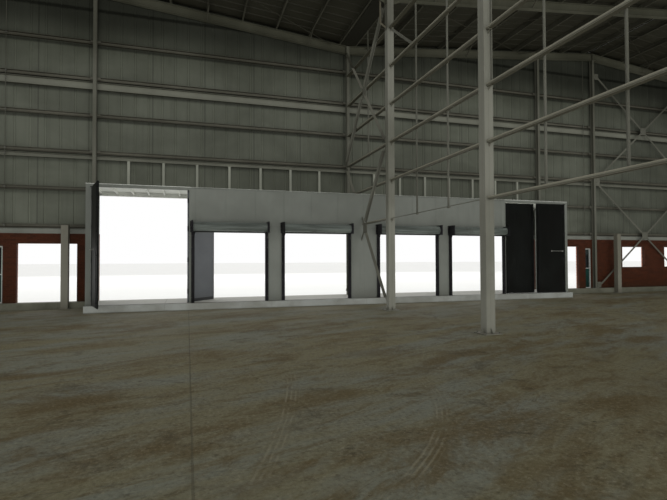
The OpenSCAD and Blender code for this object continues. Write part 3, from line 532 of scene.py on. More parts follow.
# name, the CAD nodes that wear it, light, dark, dust, rust and what sets it apart
steelPaint("white_trim", "eaves_gutters edge_trims", (224, 227, 224), (202, 203, 197), 0.25, 0.2)
steelPaint("white_pipe", "downpipes", (224, 227, 224), (202, 203, 197), 0.25, 0.2,
           shadedInside=(98, 94, 80))
steelPaint("ridge_cap", "ridge_caps", (216, 219, 216), (196, 197, 191), 0.25, 0.2, low=(36, 35, 28))
steelPaint("gutter_steel", "valley_gutter", (58, 57, 48), (40, 39, 31), 0.3, 0.5, low=(30, 29, 23))
steelPaint("column_paint", "valley_columns", (106, 106, 96), (90, 90, 80), 0.3, 0.3, seam=2.965)
steelPaint("post_paint", "side_columns gable_posts", (90, 90, 80), (76, 76, 66), 0.3, 0.4)
steelPaint("rafter_paint", "outer_rafters inner_rafters", (76, 76, 64), (63, 63, 52), 0.3, 0.4)
steelPaint("purlin_paint", "purlins_left purlins_right", (66, 65, 55), (54, 53, 44), 0.3, 0.4)
steelPaint("rail_paint", "front_girts back_girts side_girts",
           (92, 91, 80), (76, 75, 65), 0.45, 0.4, low=(34, 30, 22),
           # painted shade on the lower part of each rail
           shadeAndHighlightBands=[(0.930, 0.75, 0.013, 0.006, 7.9, 0.85, (34, 30, 22))])
steelPaint("valley_rail_paint", "valley_girts", (107, 106, 93), (92, 91, 79), 0.35, 0.4,
           low=(50, 48, 37),
           # painted shade just under the middle of each valley rail, painted highlight on its lip
           # above
           shadeAndHighlightBands=[(1.761, 0.71, 0.008, 0.002, -1, 0.7, (50, 48, 37)),
                  (1.782, 0.71, 0.006, 0.002, -1, 0.6, (132, 128, 112))])
steelPaint("beam_paint", "gable_beams", (98, 99, 88), (88, 89, 79), 0.4, 0.4, lit=-7.2,
           low=(48, 46, 36))
steelPaint("dado_beam_paint", "dado_beams", (126, 128, 119), (110, 112, 104), 0.4, 0.4)
steelPaint("rod_paint", "sag_rods", (82, 82, 73), (68, 68, 59), 0.2, 0.6)
# a darker copy of the rod paint for the rods up under the roof: painted shade
steelPaint("roof_rod_paint_shaded", "", (50, 49, 40), (40, 39, 31), 0.2, 0.4)
steelPaint("brace_paint", "gable_bracing valley_bracing", (90, 90, 80), (76, 76, 67), 0.2, 0.4)
steelPaint("dado_post_paint", "dado_posts", (108, 106, 95), (96, 94, 82), 0.3, 0.4)
steelPaint("stud_paint", "dock_studs", (134, 136, 124), (120, 122, 111), 0.3, 0.2)
steelPaint("jamb_paint", "dock_cheeks door_jambs door_heads",
           (104, 107, 100), (92, 95, 88), 0.3, 0.2)
# white paint, painted paler still: painted daylight on the bay's deck and joists
steelPaint("dock_white", "dock_deck dock_joists dock_lintel",
           (232, 234, 226), (212, 214, 206), 0.35, 0.2)
steelPaint("leaf_trim", "", (112, 113, 107), (90, 91, 85), 0.2, 0.2)
steelPaint("light_frame", "side_light_frames", (170, 174, 170), (148, 150, 144), 0.3, 0.1)
smoothPanel("dock_panel", "dock_piers dock_header")
blackPaint("leaf_paint", "left_outer_leaf right_inner_leaf right_outer_leaf",
           (13, 15, 14), (9, 10, 9), 0.42, 0.3)
# the black leaf painted grey-blue: a painted reflection of the sky on it
blackPaint("leaf_paint_painted_reflection", "left_inner_leaf", (88, 91, 94), (78, 81, 84), 0.42, 0.3)
blackPaint("black_paint", "door_pivots shutter_guides shutter_brackets",
           (26, 25, 28), (16, 15, 17), 0.5, 0.25)
slatSteel("slat_steel", "shutter_rolls", (76, 81, 76), (106, 113, 107))
# a darker copy of the slat steel for the hanging slats: painted shade under the drum
slatSteel("slat_steel_shaded", "", (46, 48, 45), (60, 63, 59))
lightPanels("light_panels", "side_light_panels")
galvanised("zinc_bolts", "", (112, 113, 106), (84, 85, 78))
galvanised("roll_end", "", (150, 154, 150), (120, 124, 120))
print("finishes mixed, CAD nodes painted:", len(finishes))



def circle(radius, sides):
    turns = [2 * math.pi * k / sides for k in range(sides)]
    return [(radius * math.cos(turn), radius * math.sin(turn)) for turn in turns]


class Stock:
    # plates, bars, bolts and tubes that are gathered into one piece
    def __init__(self, *looks):
        self.points, self.faces, self.kinds = [], [], []
        self.looks, self.look = looks, 0
        self.place = Vector

    def skin(self, *rings):
        # a closed skin over rings of points, all with the same count
        first, count = len(self.points), len(rings[0])
        last = first + count * (len(rings) - 1)
        self.points += [self.place(Vector(p)) for ring in rings for p in ring]
        faces = [range(first, first + count), range(last, last + count)]
        for base in range(first, last, count):
            faces += [(base + k, base + (k + 1) % count, base + count + (k + 1) % count,
                       base + count + k) for k in range(count)]
        self.faces += faces
        self.kinds += [self.look] * len(faces)

    def block(self, xs, ys, zs):
        # a plate between two values on each axis, given in any order
        (a, d), (b, e) = xs, ys
        self.skin(*([(a, b, z), (d, b, z), (d, e, z), (a, e, z)] for z in zs))

    def bar(self, outline, start, end, up=(0, 0, 1)):
        # an outline in (side, up) drawn from one point to another
        start, end = Vector(start), Vector(end)
        along = (end - start).normalized()
        side = along.cross(Vector(up)).normalized()
        ring = [side * u + side.cross(along) * v for u, v in outline]
        self.skin([start + p for p in ring], [end + p for p in ring])

    def rod(self, start, end, radius, sides=8):
        way = Vector(end) - Vector(start)
        up = (0, 0, 1) if abs(way[0]) + abs(way[1]) > 1e-6 else (0, 1, 0)
        self.bar(circle(radius, sides), start, end, up)

    def bolt(self, place, way, size=0.008):
        # a round washer with a six-sided head on it, of zinc where the piece has any
        look, place, way = self.look, Vector(place), Vector(way).normalized()
        if "zinc_bolts" in self.looks:
            self.look = self.looks.index("zinc_bolts")
        self.rod(place, place + way * size * 0.25, size * 1.15, 8)
        self.rod(place + way * size * 0.25, place + way * size * 0.95, size * 0.85, 6)
        self.look = look

    def bolts(self, places, way, size=0.008):
        for place in places:
            self.bolt(place, way, size)

    def fin(self, corners, thick):
        # a flat triangle of some thickness, square to its own plane
        a, b, c = (Vector(p) for p in corners)
        half = (b - a).cross(c - a).normalized() * thick / 2
        self.skin(*([p + way * half for p in (a, b, c)] for way in (-1, 1)))

    def tube(self, path, radius, sides=8):
        # a round bar bent along points
        path, rings = [Vector(p) for p in path], []
        for i, point in enumerate(path):
            along = (path[min(i + 1, len(path) - 1)] - path[max(i - 1, 0)]).normalized()
            side = along.cross(Vector((0.31, 0.22, 0.92))).normalized()
            rings.append([point + side * u + side.cross(along) * v
                          for u, v in circle(radius, sides)])
        self.skin(*rings)

    def mirror(self, axes):
        # the same again on the other side of the hall
        for axis in axes:
            count = len(self.points)
            flip = Vector([-1 if axis == word else 1 for word in "xyz"])
            self.points += [point * flip for point in self.points]
            self.faces += [[count + i for i in face] for face in self.faces]
            self.kinds *= 2

    def make(self, name, slot, body="hall", replaces=(), tidy=True):
        mesh = bpy.data.meshes.new(name)
        mesh.from_pydata([tuple(p) for p in self.points], [], [tuple(f) for f in self.faces])
        mesh.polygons.foreach_set("material_index", self.kinds)
        for look in self.looks:
            mesh.materials.append(finishes[look])
        if tidy:
            work = bmesh.new()
            work.from_mesh(mesh)
            bmesh.ops.recalc_face_normals(work, faces=work.faces)
            work.to_mesh(mesh)
            work.free()
        piece = bpy.data.objects.new(name, mesh)
        bpy.context.scene.collection.objects.link(piece)
        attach(piece, body)
        if replaces:
            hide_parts(*replaces)


# Bricks, with the openings of each wall as (near, far, sill, head)
openings = {
    "wide": 0.825, "sill": 0.775, "head": 1.35, "perBay": [3, 1, 2, 2],
    "front": [8.7125, 10.3125, 11.9125, 13.5125],
    "doors": [(5.7, 6.75, 0.2, 1.35), (6.98, 7.17, 0.2, 1.3)],
    "gap": 0.005,  # half of the joint in the back wall at each column line
}


def windowAt(middle):
    return (*about(middle, openings["wide"] / 2), openings["sill"], openings["head"])


def backOpenings():
    ends = hall["posts"] + [hall["span"]]
    spots = [spot for near, far, count in zip(ends, ends[1:], openings["perBay"])
             for spot in middles(near, far, count)]
    found = [windowAt(side * spot) for spot in spots for side in (1, -1)]
    return found + [(*about(x, openings["gap"]), 0.0, 2.0)
                    for x in (-hall["ridge"], 0, hall["ridge"])]


def sideOpenings():
    frames = hall["frames"]
    return [windowAt(near + share * (far - near)) for near, far in zip(frames, frames[1:])
            for share in (0.25, 0.75)]


def layBricks(stock, start, end, holes, face, outward, along):
    look = brickLook
    half, long = look["joint"] / 2, look["length"]
    deep = face + outward * look["proud"]
    # corners: 0 1 near end at the bed, 2 3 far end, 4 5 and 6 7 the same in front
    quads = [(4, 6, 7, 5), (0, 4, 5, 1), (2, 3, 7, 6), (0, 2, 6, 4), (1, 5, 7, 3)]
    if (outward < 0) != (along == "x"):
        quads = [quad[::-1] for quad in quads]
    for course in range(look["courses"]):
        low = look["foot"] + course * look["course"]
        high = low + look["course"]
        spans = [(start, end)]
        for a, b, sill, head in holes:
            if sill < high - look["slack"] and head > low + look["slack"]:
                spans = [part for p, q in spans
                         for part in ([(p, q)] if b <= p or a >= q else [(p, a), (b, q)])]
        shift = (course % 2) * long / 2
        for p, q in spans:
            k = math.floor((p - shift) / long)
            while k * long + shift < q:
                a = max(p, k * long + shift + half)
                b = min(q, (k + 1) * long + shift - half)
                k += 1
                if b - a < look["least"]:
                    continue
                base = len(stock.points)
                for at, d in ((a, face), (b, face), (a, deep), (b, deep)):
                    for z in (low + half, high - half):
                        stock.points.append((at, d, z) if along == "x" else (d, at, z))
                stock.faces.extend([base + i for i in quad] for quad in quads)
    stock.kinds = [0] * len(stock.faces)


def brickPieces():
    gable, outX, thick = hall["gableRail"], hall["outX"], hall["brickThick"]
    inX = outX - thick
    front, back = Stock("gable_brick"), Stock("gable_brick")
    known = [windowAt(middle) for middle in openings["front"]] + openings["doors"]
    for side in (1, -1):
        holes = [(*sorted((side * a, side * b)), sill, head) for a, b, sill, head in known]
        for face, outward, far in ((gable, -1, inX), (gable + thick, 1, outX)):
            ends = sorted((side * hall["cheek"], side * far))
            layBricks(front, *ends, holes, face, outward, "x")
    front.make("front_bricks", "brick", tidy=False)
    for face, outward, far in ((-gable, 1, inX), (-gable - thick, -1, outX)):
        layBricks(back, -far, far, backOpenings(), face, outward, "x")
    back.make("back_bricks", "brick", tidy=False)
    for side, word in ((1, "right"), (-1, "left")):
        wall = Stock("side_brick")
        for face, outward in ((inX, -1), (outX, 1)):
            layBricks(wall, -gable, gable, sideOpenings(), side * face, side * outward, "y")
        wall.make(word + "_side_bricks", "brick", tidy=False)


brickPieces()
print("bricks laid")

# Rolled-up shutters: a drum of slats, the last slats hanging to the foot bar
shutter = {
    "starts": [0.30, 2.05], "wide": 1.475, "axis": (7.2217, 1.6575), "radius": 0.085,
    "slats": 13, "bulge": 0.0035, "groove": 0.0025, "in": 0.0343, "curtainY": 7.311,
    "windings": (0.079, 0.068, 0.057, 0.046), "hanging": (1.594, 1.626, 1.658),
    "footBar": [(-0.003, 1.594), (-0.003, 1.572), (-0.0078, 1.570), (-0.0078, 1.556),
                (0.0078, 1.556), (0.0078, 1.570), (0.003, 1.572), (0.003, 1.594)],
    "lip": (1.5502, 1.556), "guideY": 7.286, "flangeY": (7.319, 7.325),
    "bracketBolts": (1.585, 1.655, 1.725), "guideBolts": (0.30, 0.62, 0.94, 1.26, 1.48),
    "hook": [(0, 7.262, 1.556), (0.002, 7.256, 1.520), (0.004, 7.250, 1.480),
             (0.001, 7.246, 1.455), (-0.008, 7.246, 1.444), (-0.018, 7.248, 1.450),
             (-0.020, 7.249, 1.464)],
}
shutterSpans = [sorted((side * start, side * (start + shutter["wide"])))
                for side in (1, -1) for start in shutter["starts"]]


def rolledShutters():
    s = shutter
    slatY, bulge, steps = s["curtainY"], s["bulge"], 6
    stock = Stock("slat_steel", "roll_end", "black_paint", "slat_steel_shaded")
    drum = []
    for slat in range(s["slats"]):
        for part in range(5):
            turn = 2 * math.pi * (slat + part / 5) / s["slats"]
            reach = s["radius"] - bulge * (1 - math.sin(math.pi * part / 5))
            reach -= 0 if part else s["groove"]
            drum.append((reach * math.cos(turn), reach * math.sin(turn)))
    for left, right in shutterSpans:
        a, b = left + s["in"], right - s["in"]
        stock.look = 0
        stock.bar(drum, (a, *s["axis"]), (b, *s["axis"]))
        # edges of the wound curtain, and the shaft
        for end, way in ((a, -1), (b, 1)):
            for ring, reach in enumerate(s["windings"]):
                stock.look = 1 - ring % 2
                step = way * 0.0008 * (ring + 1)
                stock.rod((end, *s["axis"]), (end + step, *s["axis"]), reach, 28)
            stock.look = 2
            stock.rod((end, *s["axis"]), (end + way * 0.0038, *s["axis"]), 0.024, 16)
        # two slats hang from the drum, each a shallow curve
        stock.look = 3
        # they wear the darker copy of the slat steel: painted shade
        for low, high in zip(s["hanging"], s["hanging"][1:]):
            curve = [(bulge * math.sin(math.pi * i / steps), low + (high - low) * i / steps)
                     for i in range(steps + 1)]
            shape = curve + [(u - 0.003, v) for u, v in reversed(curve)]
            stock.bar([(-u, v) for u, v in shape], (a, slatY, 0), (b, slatY, 0))
        # foot bar: a T with a rubber lip
        stock.bar(s["footBar"], (a, slatY, 0), (b, slatY, 0))
        stock.look = 2
        stock.block((a, b), about(slatY, 0.003), s["lip"])
    stock.make("rolled_shutters", "shutter_slats", replaces=("shutter_rolls",))


def shutterFittings():
    s = shutter
    stock = Stock("black_paint", "zinc_bolts")
    flange, y = s["flangeY"], s["guideY"]
    for left, right in shutterSpans:
        for end, way in ((left, 1), (right, -1)):
            # bearing on the inside of each end bracket, folded lips and a wall flange
            stock.rod((end + way * 0.030, *s["axis"]), (end + way * 0.033, *s["axis"]), 0.030, 12)
            for z in (1.552, 1.757):
                stock.block((end, end - way * 0.004), (7.112, flange[1]), (z, z + 0.008))
            stock.block((end, end - way * 0.022), flange, (1.553, 1.762))
            # lead-in flare at the head of each guide
            near, far = end + way * 0.058, end + way * 0.074
            stock.fin([(near, y + 0.002, 1.49), (near, y + 0.002, 1.545),
                       (far, y + 0.002, 1.545)], 0.003)
            stock.bolts([(end - way * 0.012, flange[0], z) for z in s["bracketBolts"]],
                        (0, -1, 0), 0.0065)
            stock.bolts([(end + way * 0.012, y, z) for z in s["guideBolts"]], (0, -1, 0), 0.0055)
        # pull hook on the right-hand bracket
        stock.look = 1
        stock.tube([(right - 0.012 + x, y, z) for x, y, z in s["hook"]], 0.0045)
        stock.look = 0
        stock.rod((right - 0.022, 7.262, 1.553), (right - 0.004, 7.262, 1.553), 0.010, 10)
    stock.make("shutter_fittings", "shutter_black")


rolledShutters()
shutterFittings()
print("shutters dressed")

# Door leaves: a leaf is built as if it hung from the origin and closed towards +X
leafLook = {
    "long": 0.824, "thick": 0.025, "low": 0.212, "high": 2.343,
    "hinges": (0.42, 1.02, 1.62, 2.16), "knuckle": 0.031, "strap": (0.016, 0.115),
    "strapBolts": (0.040, 0.068, 0.096), "fold": 0.0015,
    "keeps": (0.30, 0.70, 1.10, 1.50, 1.90, 2.25),
    "handle": (0.062, 0.415), "handleFeet": (0.082, 0.395), "handleZ": 1.205,
}
leaves = {  # pivot, how far the leaf is turned at rest, which face looks into the hall
    "left_outer_leaf": ((-5.245, 7.305), -74, -1), "left_inner_leaf": ((-3.585, 7.395), 52, 1),
    "right_inner_leaf": ((3.585, 7.395), 0, -1), "right_outer_leaf": ((5.245, 7.305), 180, 1),
}


def dressLeaf(name, pivot, turn, inside):
    look = leafLook
    low, high, long, face = look["low"], look["high"], look["long"], look["thick"] / 2
    stock = Stock("leaf_paint", "leaf_trim", "black_paint")
    swing = Matrix.Translation((*pivot, 0)) @ Matrix.Rotation(math.radians(turn), 4, "Z")
    stock.place = lambda point: swing @ point
    # hinges: a barrel of three knuckles on the pivot and a strap on each face
    stock.look = 2
    for z in look["hinges"]:
        for k in (-1, 0, 1):
            stock.rod(*((0, 0, end) for end in about(z + k * look["knuckle"], 0.015)), 0.0145, 14)
        for side in (-1, 1):
            front = side * (face + 0.002)
            stock.block(look["strap"], (side * face, front), about(z, 0.022))
            stock.bolts([(u, front, z) for u in look["strapBolts"]], (0, side, 0), 0.0045)
    # a folded edge strip round the leaf, and a seal along its foot
    stock.look = 0
    for side in (-1, 1):
        ys = (side * face, side * (face + look["fold"]))
        stock.block((0.014, long), ys, (high - 0.020, high))
        stock.block((0.014, long), ys, (low, low + 0.055))
        stock.block((long - 0.020, long), ys, (low + 0.055, high - 0.020))
    stock.look = 2
    stock.block((0.016, long - 0.002), about(0, 0.006), (low - 0.007, low))
    # the bolt's rod runs up and down the closing edge, in its keeps
    x, y = long - 0.045, inside * (face + 0.010)
    stock.rod((x, y, low + 0.02), (x, y, high - 0.02), 0.005, 8)
    for z in look["keeps"]:
        stock.block(about(x, 0.012), (inside * face, inside * (face + 0.017)), about(z, 0.008))
    if "outer" in name:  # pull bar on its two feet
        stock.look = 1
        z, reach = look["handleZ"], inside * (face + 0.026)
        stock.rod(*((end, reach, z) for end in look["handle"]), 0.007, 10)
        for u in look["handleFeet"]:
            stock.rod((u, inside * face, z), (u, reach, z), 0.006, 8)
            stock.block(about(u, 0.014), (inside * face, inside * (face + 0.003)), about(z, 0.02))
    stock.make(name + "_fittings", "door_leaf", name)


for leafName, (pivot, turn, inside) in leaves.items():
    dressLeaf(leafName, pivot, turn, inside)
print("leaves dressed")

# Roof steel: cleats, end plates, fly braces and wind rods
roofSteel = {
    "cleat": (0.005, 0.04, 0.085), "cleatBolts": ((-0.018, 0.030), (0.018, 0.068)), "bolt": 0.0075,
    "eavesX": 14.4125, "plate": (0.0006, 0.0126), "finLong": 0.22, "finDeep": 0.07,
    "angle": [(0, 0), (0.022, 0), (0.022, 0.003), (0.003, 0.003), (0.003, 0.022), (0, 0.022)],
    "flyBraces": [1, 4, 7], "rod": 0.008, "rodIn": 0.05, "rodStops": [0.42, 4.86, 9.55, 14.2],
}
tilt = math.atan(hall["pitch"])


def onSlope(side, inner, y):
    # s runs up the slope from the valley or the eaves, n stands square to it
    def place(point):
        s, along, n = point
        x = s * math.cos(tilt) - n * math.sin(tilt)
        z = hall["eaves"] + s * math.sin(tilt) + n * math.cos(tilt)
        return Vector((side * (x if inner else hall["span"] - x), y + along, z))
    return place


def slopes(side):
    return [(onSlope(side, inner, y), y) for inner in (True, False) for y in hall["frames"]]


def purlinAt(i):
    return (hall["purlinFirst"] + i * hall["purlinGap"]) / math.cos(tilt)


def purlinCleats():
    base = hall["rafterDepth"] / 2 * math.cos(tilt)
    thick, half, high = roofSteel["cleat"]
    for side, word in ((1, "right"), (-1, "left")):
        stock = Stock("rafter_paint", "zinc_bolts")
        for stock.place, _ in slopes(side):
            for s in map(purlinAt, range(hall["purlins"])):
                stock.block((s - thick, s - 0.0003), (-half, half), (base, base + high))
                stock.block((s - 0.045, s - thick), (-half, half), (base, base + thick))
                stock.bolts([(s - thick, u, base + n) for u, n in roofSteel["cleatBolts"]],
                            (-1, 0, 0), roofSteel["bolt"])
        stock.make(word + "_purlin_cleats", "frame_steel")


def rafterPlates():
    # bolted end plates at the ridge, beside each column head and at the eaves
    stock = Stock("rafter_paint", "zinc_bolts")
    half = hall["rafterDepth"] / 2
    for y in hall["frames"]:
        inside = y in innerFrames
        column = hall["columnHalf" if inside else "postHalf"]
        for x, ways, deep in ((column, (1,), 0.26), (hall["ridge"], (-1, 1), 0.29),
                              (roofSteel["eavesX"], (-1,), 0.25)):
            top = rafterZ(x) + half - 0.002
            for way in ways:
                near, far = (x + way * part for part in roofSteel["plate"])
                stock.block((near, far), about(y, 0.055), (top - deep, top))
                stock.bolts([(far, y + u, top - drop) for u in (-0.034, 0.034)
                             for drop in (0.035, 0.105, deep - 0.030)], (way, 0, 0), 0.009)
                if inside and x != hall["ridge"]:  # a fin under the rafter
                    foot, under = x + way * roofSteel["finLong"], rafterZ(far) - half
                    stock.fin([(far, y, under), (far, y, under - roofSteel["finDeep"]),
                               (foot, y, rafterZ(foot) - half)], 0.006)
    stock.mirror("x")
    stock.make("rafter_end_plates", "frame_steel")


def flyBraces():
    # short angles that hold the lower flange of a rafter to a purlin beside it
    stock = Stock("purlin_paint", "zinc_bolts")
    low = -hall["rafterDepth"] / 2 * math.cos(tilt)
    for stock.place, y in slopes(1):
        way = -1 if y > 0 else 1
        for i in roofSteel["flyBraces"]:
            s = purlinAt(i) - 0.012
            stock.bar(roofSteel["angle"], (s, way * 0.045, low + 0.008),
                      (s, way * 0.36, 0.03 - low), (1, 0, 0))
            stock.bolt((s - 0.002, way * 0.060, low + 0.020), (-1, 0, 0), 0.006)
    stock.mirror("x")
    stock.make("fly_braces", "frame_steel")


def turnbuckle(stock, start, end, at):
    start, end = Vector(start), Vector(end)
    way = (end - start).normalized()
    flank = way.cross(Vector((0, 0, 1))).normalized()
    stock.look = 1
    for off in (-0.011, 0.011):
        foot = start + flank * off
        stock.rod(foot + way * at, foot + way * (at + 0.14), 0.004, 6)
    for part in (at - 0.008, at + 0.132):
        stock.rod(start + way * part, start + way * (part + 0.016), 0.015, 6)


def windRods():
    # crossed rods in the end bays, just under the purlins
    stock = Stock("roof_rod_paint_shaded", "roof_rod_paint_shaded")
    stops, ridge = roofSteel["rodStops"], hall["ridge"]
    near, far = hall["frames"][6] - roofSteel["rodIn"], hall["frames"][5] + roofSteel["rodIn"]
    for a, b in zip(stops, stops[1:]):
        for ya, yb, lift in ((near, far, 0.035), (far, near, 0.015)):
            path = [(a, ya), (b, yb)]
            if a < ridge < b:  # the rod bends over at the ridge
                path.insert(1, (ridge, ya + (yb - ya) * (ridge - a) / (b - a)))
            path = [(x, y, rafterZ(x) + lift) for x, y in path]
            stock.look = 0
            for p, q in zip(path, path[1:]):
                stock.rod(p, q, roofSteel["rod"], 6)
            turnbuckle(stock, path[0], path[1], 0.55)
    stock.mirror("xy")
    stock.make("roof_wind_rods", "frame_steel")


purlinCleats()
rafterPlates()
flyBraces()
windRods()
print("roof steel dressed")

# Wall steel: cleats in the rails, base plates, brace ends and legs, rod clips
wallSteel = {
    "bolt": 0.0065, "cleatHalf": 0.030, "cleatOff": (0.001, 0.006), "cleatTo": 0.095, "fin": 0.006,
    "tieX": 6.96, "tieFoot": 1.66, "tieClamps": [3.095, 4.5575], "braceMid": 3.2,
}


def railCleats():
    stock = Stock("rail_paint", "zinc_bolts")
    half, size = wallSteel["cleatHalf"], wallSteel["bolt"]
    for end in (1, -1):
        y, back = (end * (hall["gableRail"] + off) for off in wallSteel["cleatOff"])
        for level, z in enumerate(hall["rails"]):
            for x in hall["posts"]:
                if level == 0 and (x == 0 or end > 0 and x <= hall["posts"][1]):
                    continue
                for way in (-1, 1) if x else (1,):
                    stock.block((x + way * hall["postHalf"], x + way * wallSteel["cleatTo"]),
                                (y, back), about(z, half))
                    stock.bolts([(x + way * u, y, z) for u in (0.050, 0.078)], (0, -end, 0), size)
    x, back = (hall["sideRail"] + off for off in wallSteel["cleatOff"])
    for z in hall["rails"]:
        for y in innerFrames:
            for way in (-1, 1):
                stock.block((x, back), (y + way * 0.05, y + way * 0.11), about(z, half))
                stock.bolt((x, y + way * 0.085, z), (-1, 0, 0), size)
    stock.mirror("x")
    stock.make("rail_cleats", "frame_steel")


basePlate = {
    "thick": 0.012, "finTo": 0.115, "finHigh": 0.07,
    # wide, deep, how far the bolts stand in from the edges, size of a bolt
    "column": (0.25, 0.25, 0.03, 0.03, 0.010), "post": (0.15, 0.105, 0.02, 0.022, 0.007),
    "sideColumn": (0.15, 0.17, 0.025, 0.03, 0.009), "dadoPost": (0.185, 0.120, 0.014, 0.03, 0.007),
    "postY": 8.345, "sideX": 14.46, "dadoX": (5.86, 7.86), "dadoY": 8.1625,
}


def basePlates():
    stock, look = Stock("column_paint", "zinc_bolts"), basePlate

    def plate(kind, x, y, z):
        wide, deep, inX, inY, size = look[kind]
        top = z + look["thick"]
        stock.look = 0
        stock.block(about(x, wide / 2), about(y, deep / 2), (z, top))
        stock.look = 1
        for ax in about(x, wide / 2 - inX):
            for ay in about(y, deep / 2 - inY):
                stock.bolt((ax, ay, top), (0, 0, 1), size)
                stock.rod((ax, ay, top + size * 0.9), (ax, ay, top + size * 2), size * 0.5, 6)

    for post in hall["posts"][1:]:
        for end in (1, -1):
            plate("post", post, end * look["postY"], hall["datum"])
    for y in innerFrames:
        plate("sideColumn", look["sideX"], y, hall["datum"])
    for x in look["dadoX"]:
        plate("dadoPost", x, look["dadoY"], hall["floor"])
    stock.mirror("x")
    near, far, low = hall["columnHalf"], look["finTo"], hall["floor"] + look["thick"]
    for y in innerFrames:
        plate("column", 0, y, hall["floor"])
        stock.look = 0
        for u, v in ((1, 0), (-1, 0), (0, 1), (0, -1)):  # stiffening fins
            stock.fin([(u * near, v * near + y, low), (u * far, v * far + y, low),
                       (u * near, v * near + y, low + look["finHigh"])], wallSteel["fin"])
    stock.make("base_plates", "frame_steel")


def braceEnds():
    # end plates and bolts of the crossed flats, on both gables
    stock = Stock("brace_paint", "zinc_bolts")
    near, far = hall["posts"][2] + hall["postHalf"], hall["posts"][3] - hall["postHalf"]
    low, mid, y = hall["datum"] + 0.014, wallSteel["braceMid"], hall["gable"] - 0.05
    front = y - 0.0064
    for x, way in ((near, 1), (far, -1)):
        for z, high in ((low, 0.16), (mid - 0.15, 0.30), (6.03, 0.16)):
            stock.block((x + way * 0.0005, x + way * 0.13), (y - 0.0004, front), (z, z + high))
            stock.bolts([(x + way * u, front, z + high * share)
                         for u, share in ((0.03, 0.3), (0.065, 0.5), (0.10, 0.7))], (0, -1, 0))
    # bolts of the middle plates
    stock.bolts([(u, y, v) for z in ((hall["datum"] + mid - 0.045) / 2, mid + 1.5)
                 for u in about((near + far) / 2, 0.065) for v in about(z, 0.065)], (0, -1, 0))
    stock.mirror("xy")
    stock.make("brace_end_plates", "frame_steel")


valleyBrace = {
    "near": 5.9925, "far": 8.3, "leg": 0.050, "thick": 0.005, "edge": 0.020,
    "rear": -0.0403, "front": -0.0506,  # room-side faces of the two layers of flats
    # foot and head of each cross, and the stretches that are free of plates, wall and deck
    "panels": [(0.2, 3.145, [(0.03, 0.46), (0.61, 0.70), (0.78, 0.97)],
                [(0.03, 0.46), (0.62, 0.97)]),
               (3.19, 5.8525, [(0.03, 0.46), (0.54, 0.97)], [(0.03, 0.46), (0.54, 0.97)])],
}


def valleyBraceLegs():
    # the outstanding legs of the crossed angles in the end bay of the valley line
    stock = Stock("brace_paint")
    look = valleyBrace
    left, right = about(look["edge"], look["thick"] / 2)
    outline = [(left, 0), (right, 0), (right, look["leg"]), (left, look["leg"])]
    for foot, head, rising, falling in look["panels"]:
        for x, low, high, stretches in ((look["rear"], foot, head, rising),
                                        (look["front"], head, foot, falling)):
            start, end = Vector((x, look["near"], low)), Vector((x, look["far"], high))
            for a, b in stretches:
                stock.bar(outline, start.lerp(end, a), start.lerp(end, b), (-1, 0, 0))
    stock.make("valley_brace_legs", "frame_steel")


def valleySteel():
    # clips where the rods cross the rails, seats at the columns, the cable's turnbuckle
    stock = Stock("valley_rail_paint", "zinc_bolts")
    frames, levels = hall["frames"], hall["valleyRails"]
    clip, reach = (0.0155, 0.022), (0.0305, 0.0605, 0.0635)
    for i, (near, far) in enumerate(zip(frames, frames[1:])):
        end, lowest = i in (0, 5), int(i == 3)
        for share in ((0.5,) if end else (1 / 3, 2 / 3)):
            y = near + share * (far - near)
            for z in levels[2 if end else lowest:]:
                for way in (-1, 1):
                    stock.block((reach[0], reach[2]), (y + way * clip[0], y + way * clip[1]),
                                about(z, 0.009))
                stock.block(reach[1:], about(y, clip[1]), about(z, 0.009))
                stock.bolt((reach[2], y, z), (1, 0, 0), 0.005)
        for edge, way in ((near, 1), (far, -1)):
            if edge not in innerFrames:
                continue
            y = edge + way * 0.0627
            for z in levels[lowest:]:
                stock.block(about(0, 0.026), (y, y + way * 0.050), (z - 0.0235, z - 0.0178))
                stock.fin([(0, y, z - 0.0235), (0, y + way * 0.046, z - 0.0235), (0, y, z - 0.07)],
                          wallSteel["fin"])
    z, start, end = levels[0], frames[3] + hall["columnHalf"], frames[4] - hall["columnHalf"]
    stock.look = 1
    stock.rod((0, start, z), (0, start + 0.012, z), 0.018, 8)
    stock.rod((0, end - 0.012, z), (0, end, z), 0.018, 8)
    turnbuckle(stock, (0, start, z), (0, end, z), 0.42)
    stock.make("valley_clips", "frame_steel")


def gableRods():
    # a thin rod with clamps ties the rails together beside each inner brace post
    stock = Stock("rod_paint", "zinc_bolts")
    x, y, foot = wallSteel["tieX"], hall["gableRail"] - 0.009, wallSteel["tieFoot"]
    stock.rod((x, y, foot), (x, y, rafterZ(x) - hall["rafterDepth"] / 2), 0.0065, 8)
    stock.look = 1
    for z in hall["rails"] + wallSteel["tieClamps"]:
        stock.block(about(x, 0.016), about(y, 0.009), about(z, 0.010))
        stock.rod((x, y, z + 0.012), (x, y, z + 0.020), 0.011, 6)
    stock.mirror("xy")
    stock.make("gable_tie_rods", "frame_steel")


railCleats()
basePlates()
braceEnds()
valleyBraceLegs()
valleySteel()
gableRods()
print("wall steel dressed")

# Loading bay: strips, angles and rivets on the panel wall and its roof
bay = {
    "strip": 0.0022, "stripPitch": 0.575, "rivet": 0.0035, "edge": 3.525, "top": 2.4098,
    "hangers": ((7.3752, 7.405), (8.372, 8.3998)), "lintelY": 8.3998,
    "stud": 0.68, "studY": 8.425, "studEnds": ((2.4875, 1), (3.0575, -1)),
    "light": (6.98, 7.17), "lightFoot": 0.2, "lightHead": 1.3, "lightBar": 0.762,
}


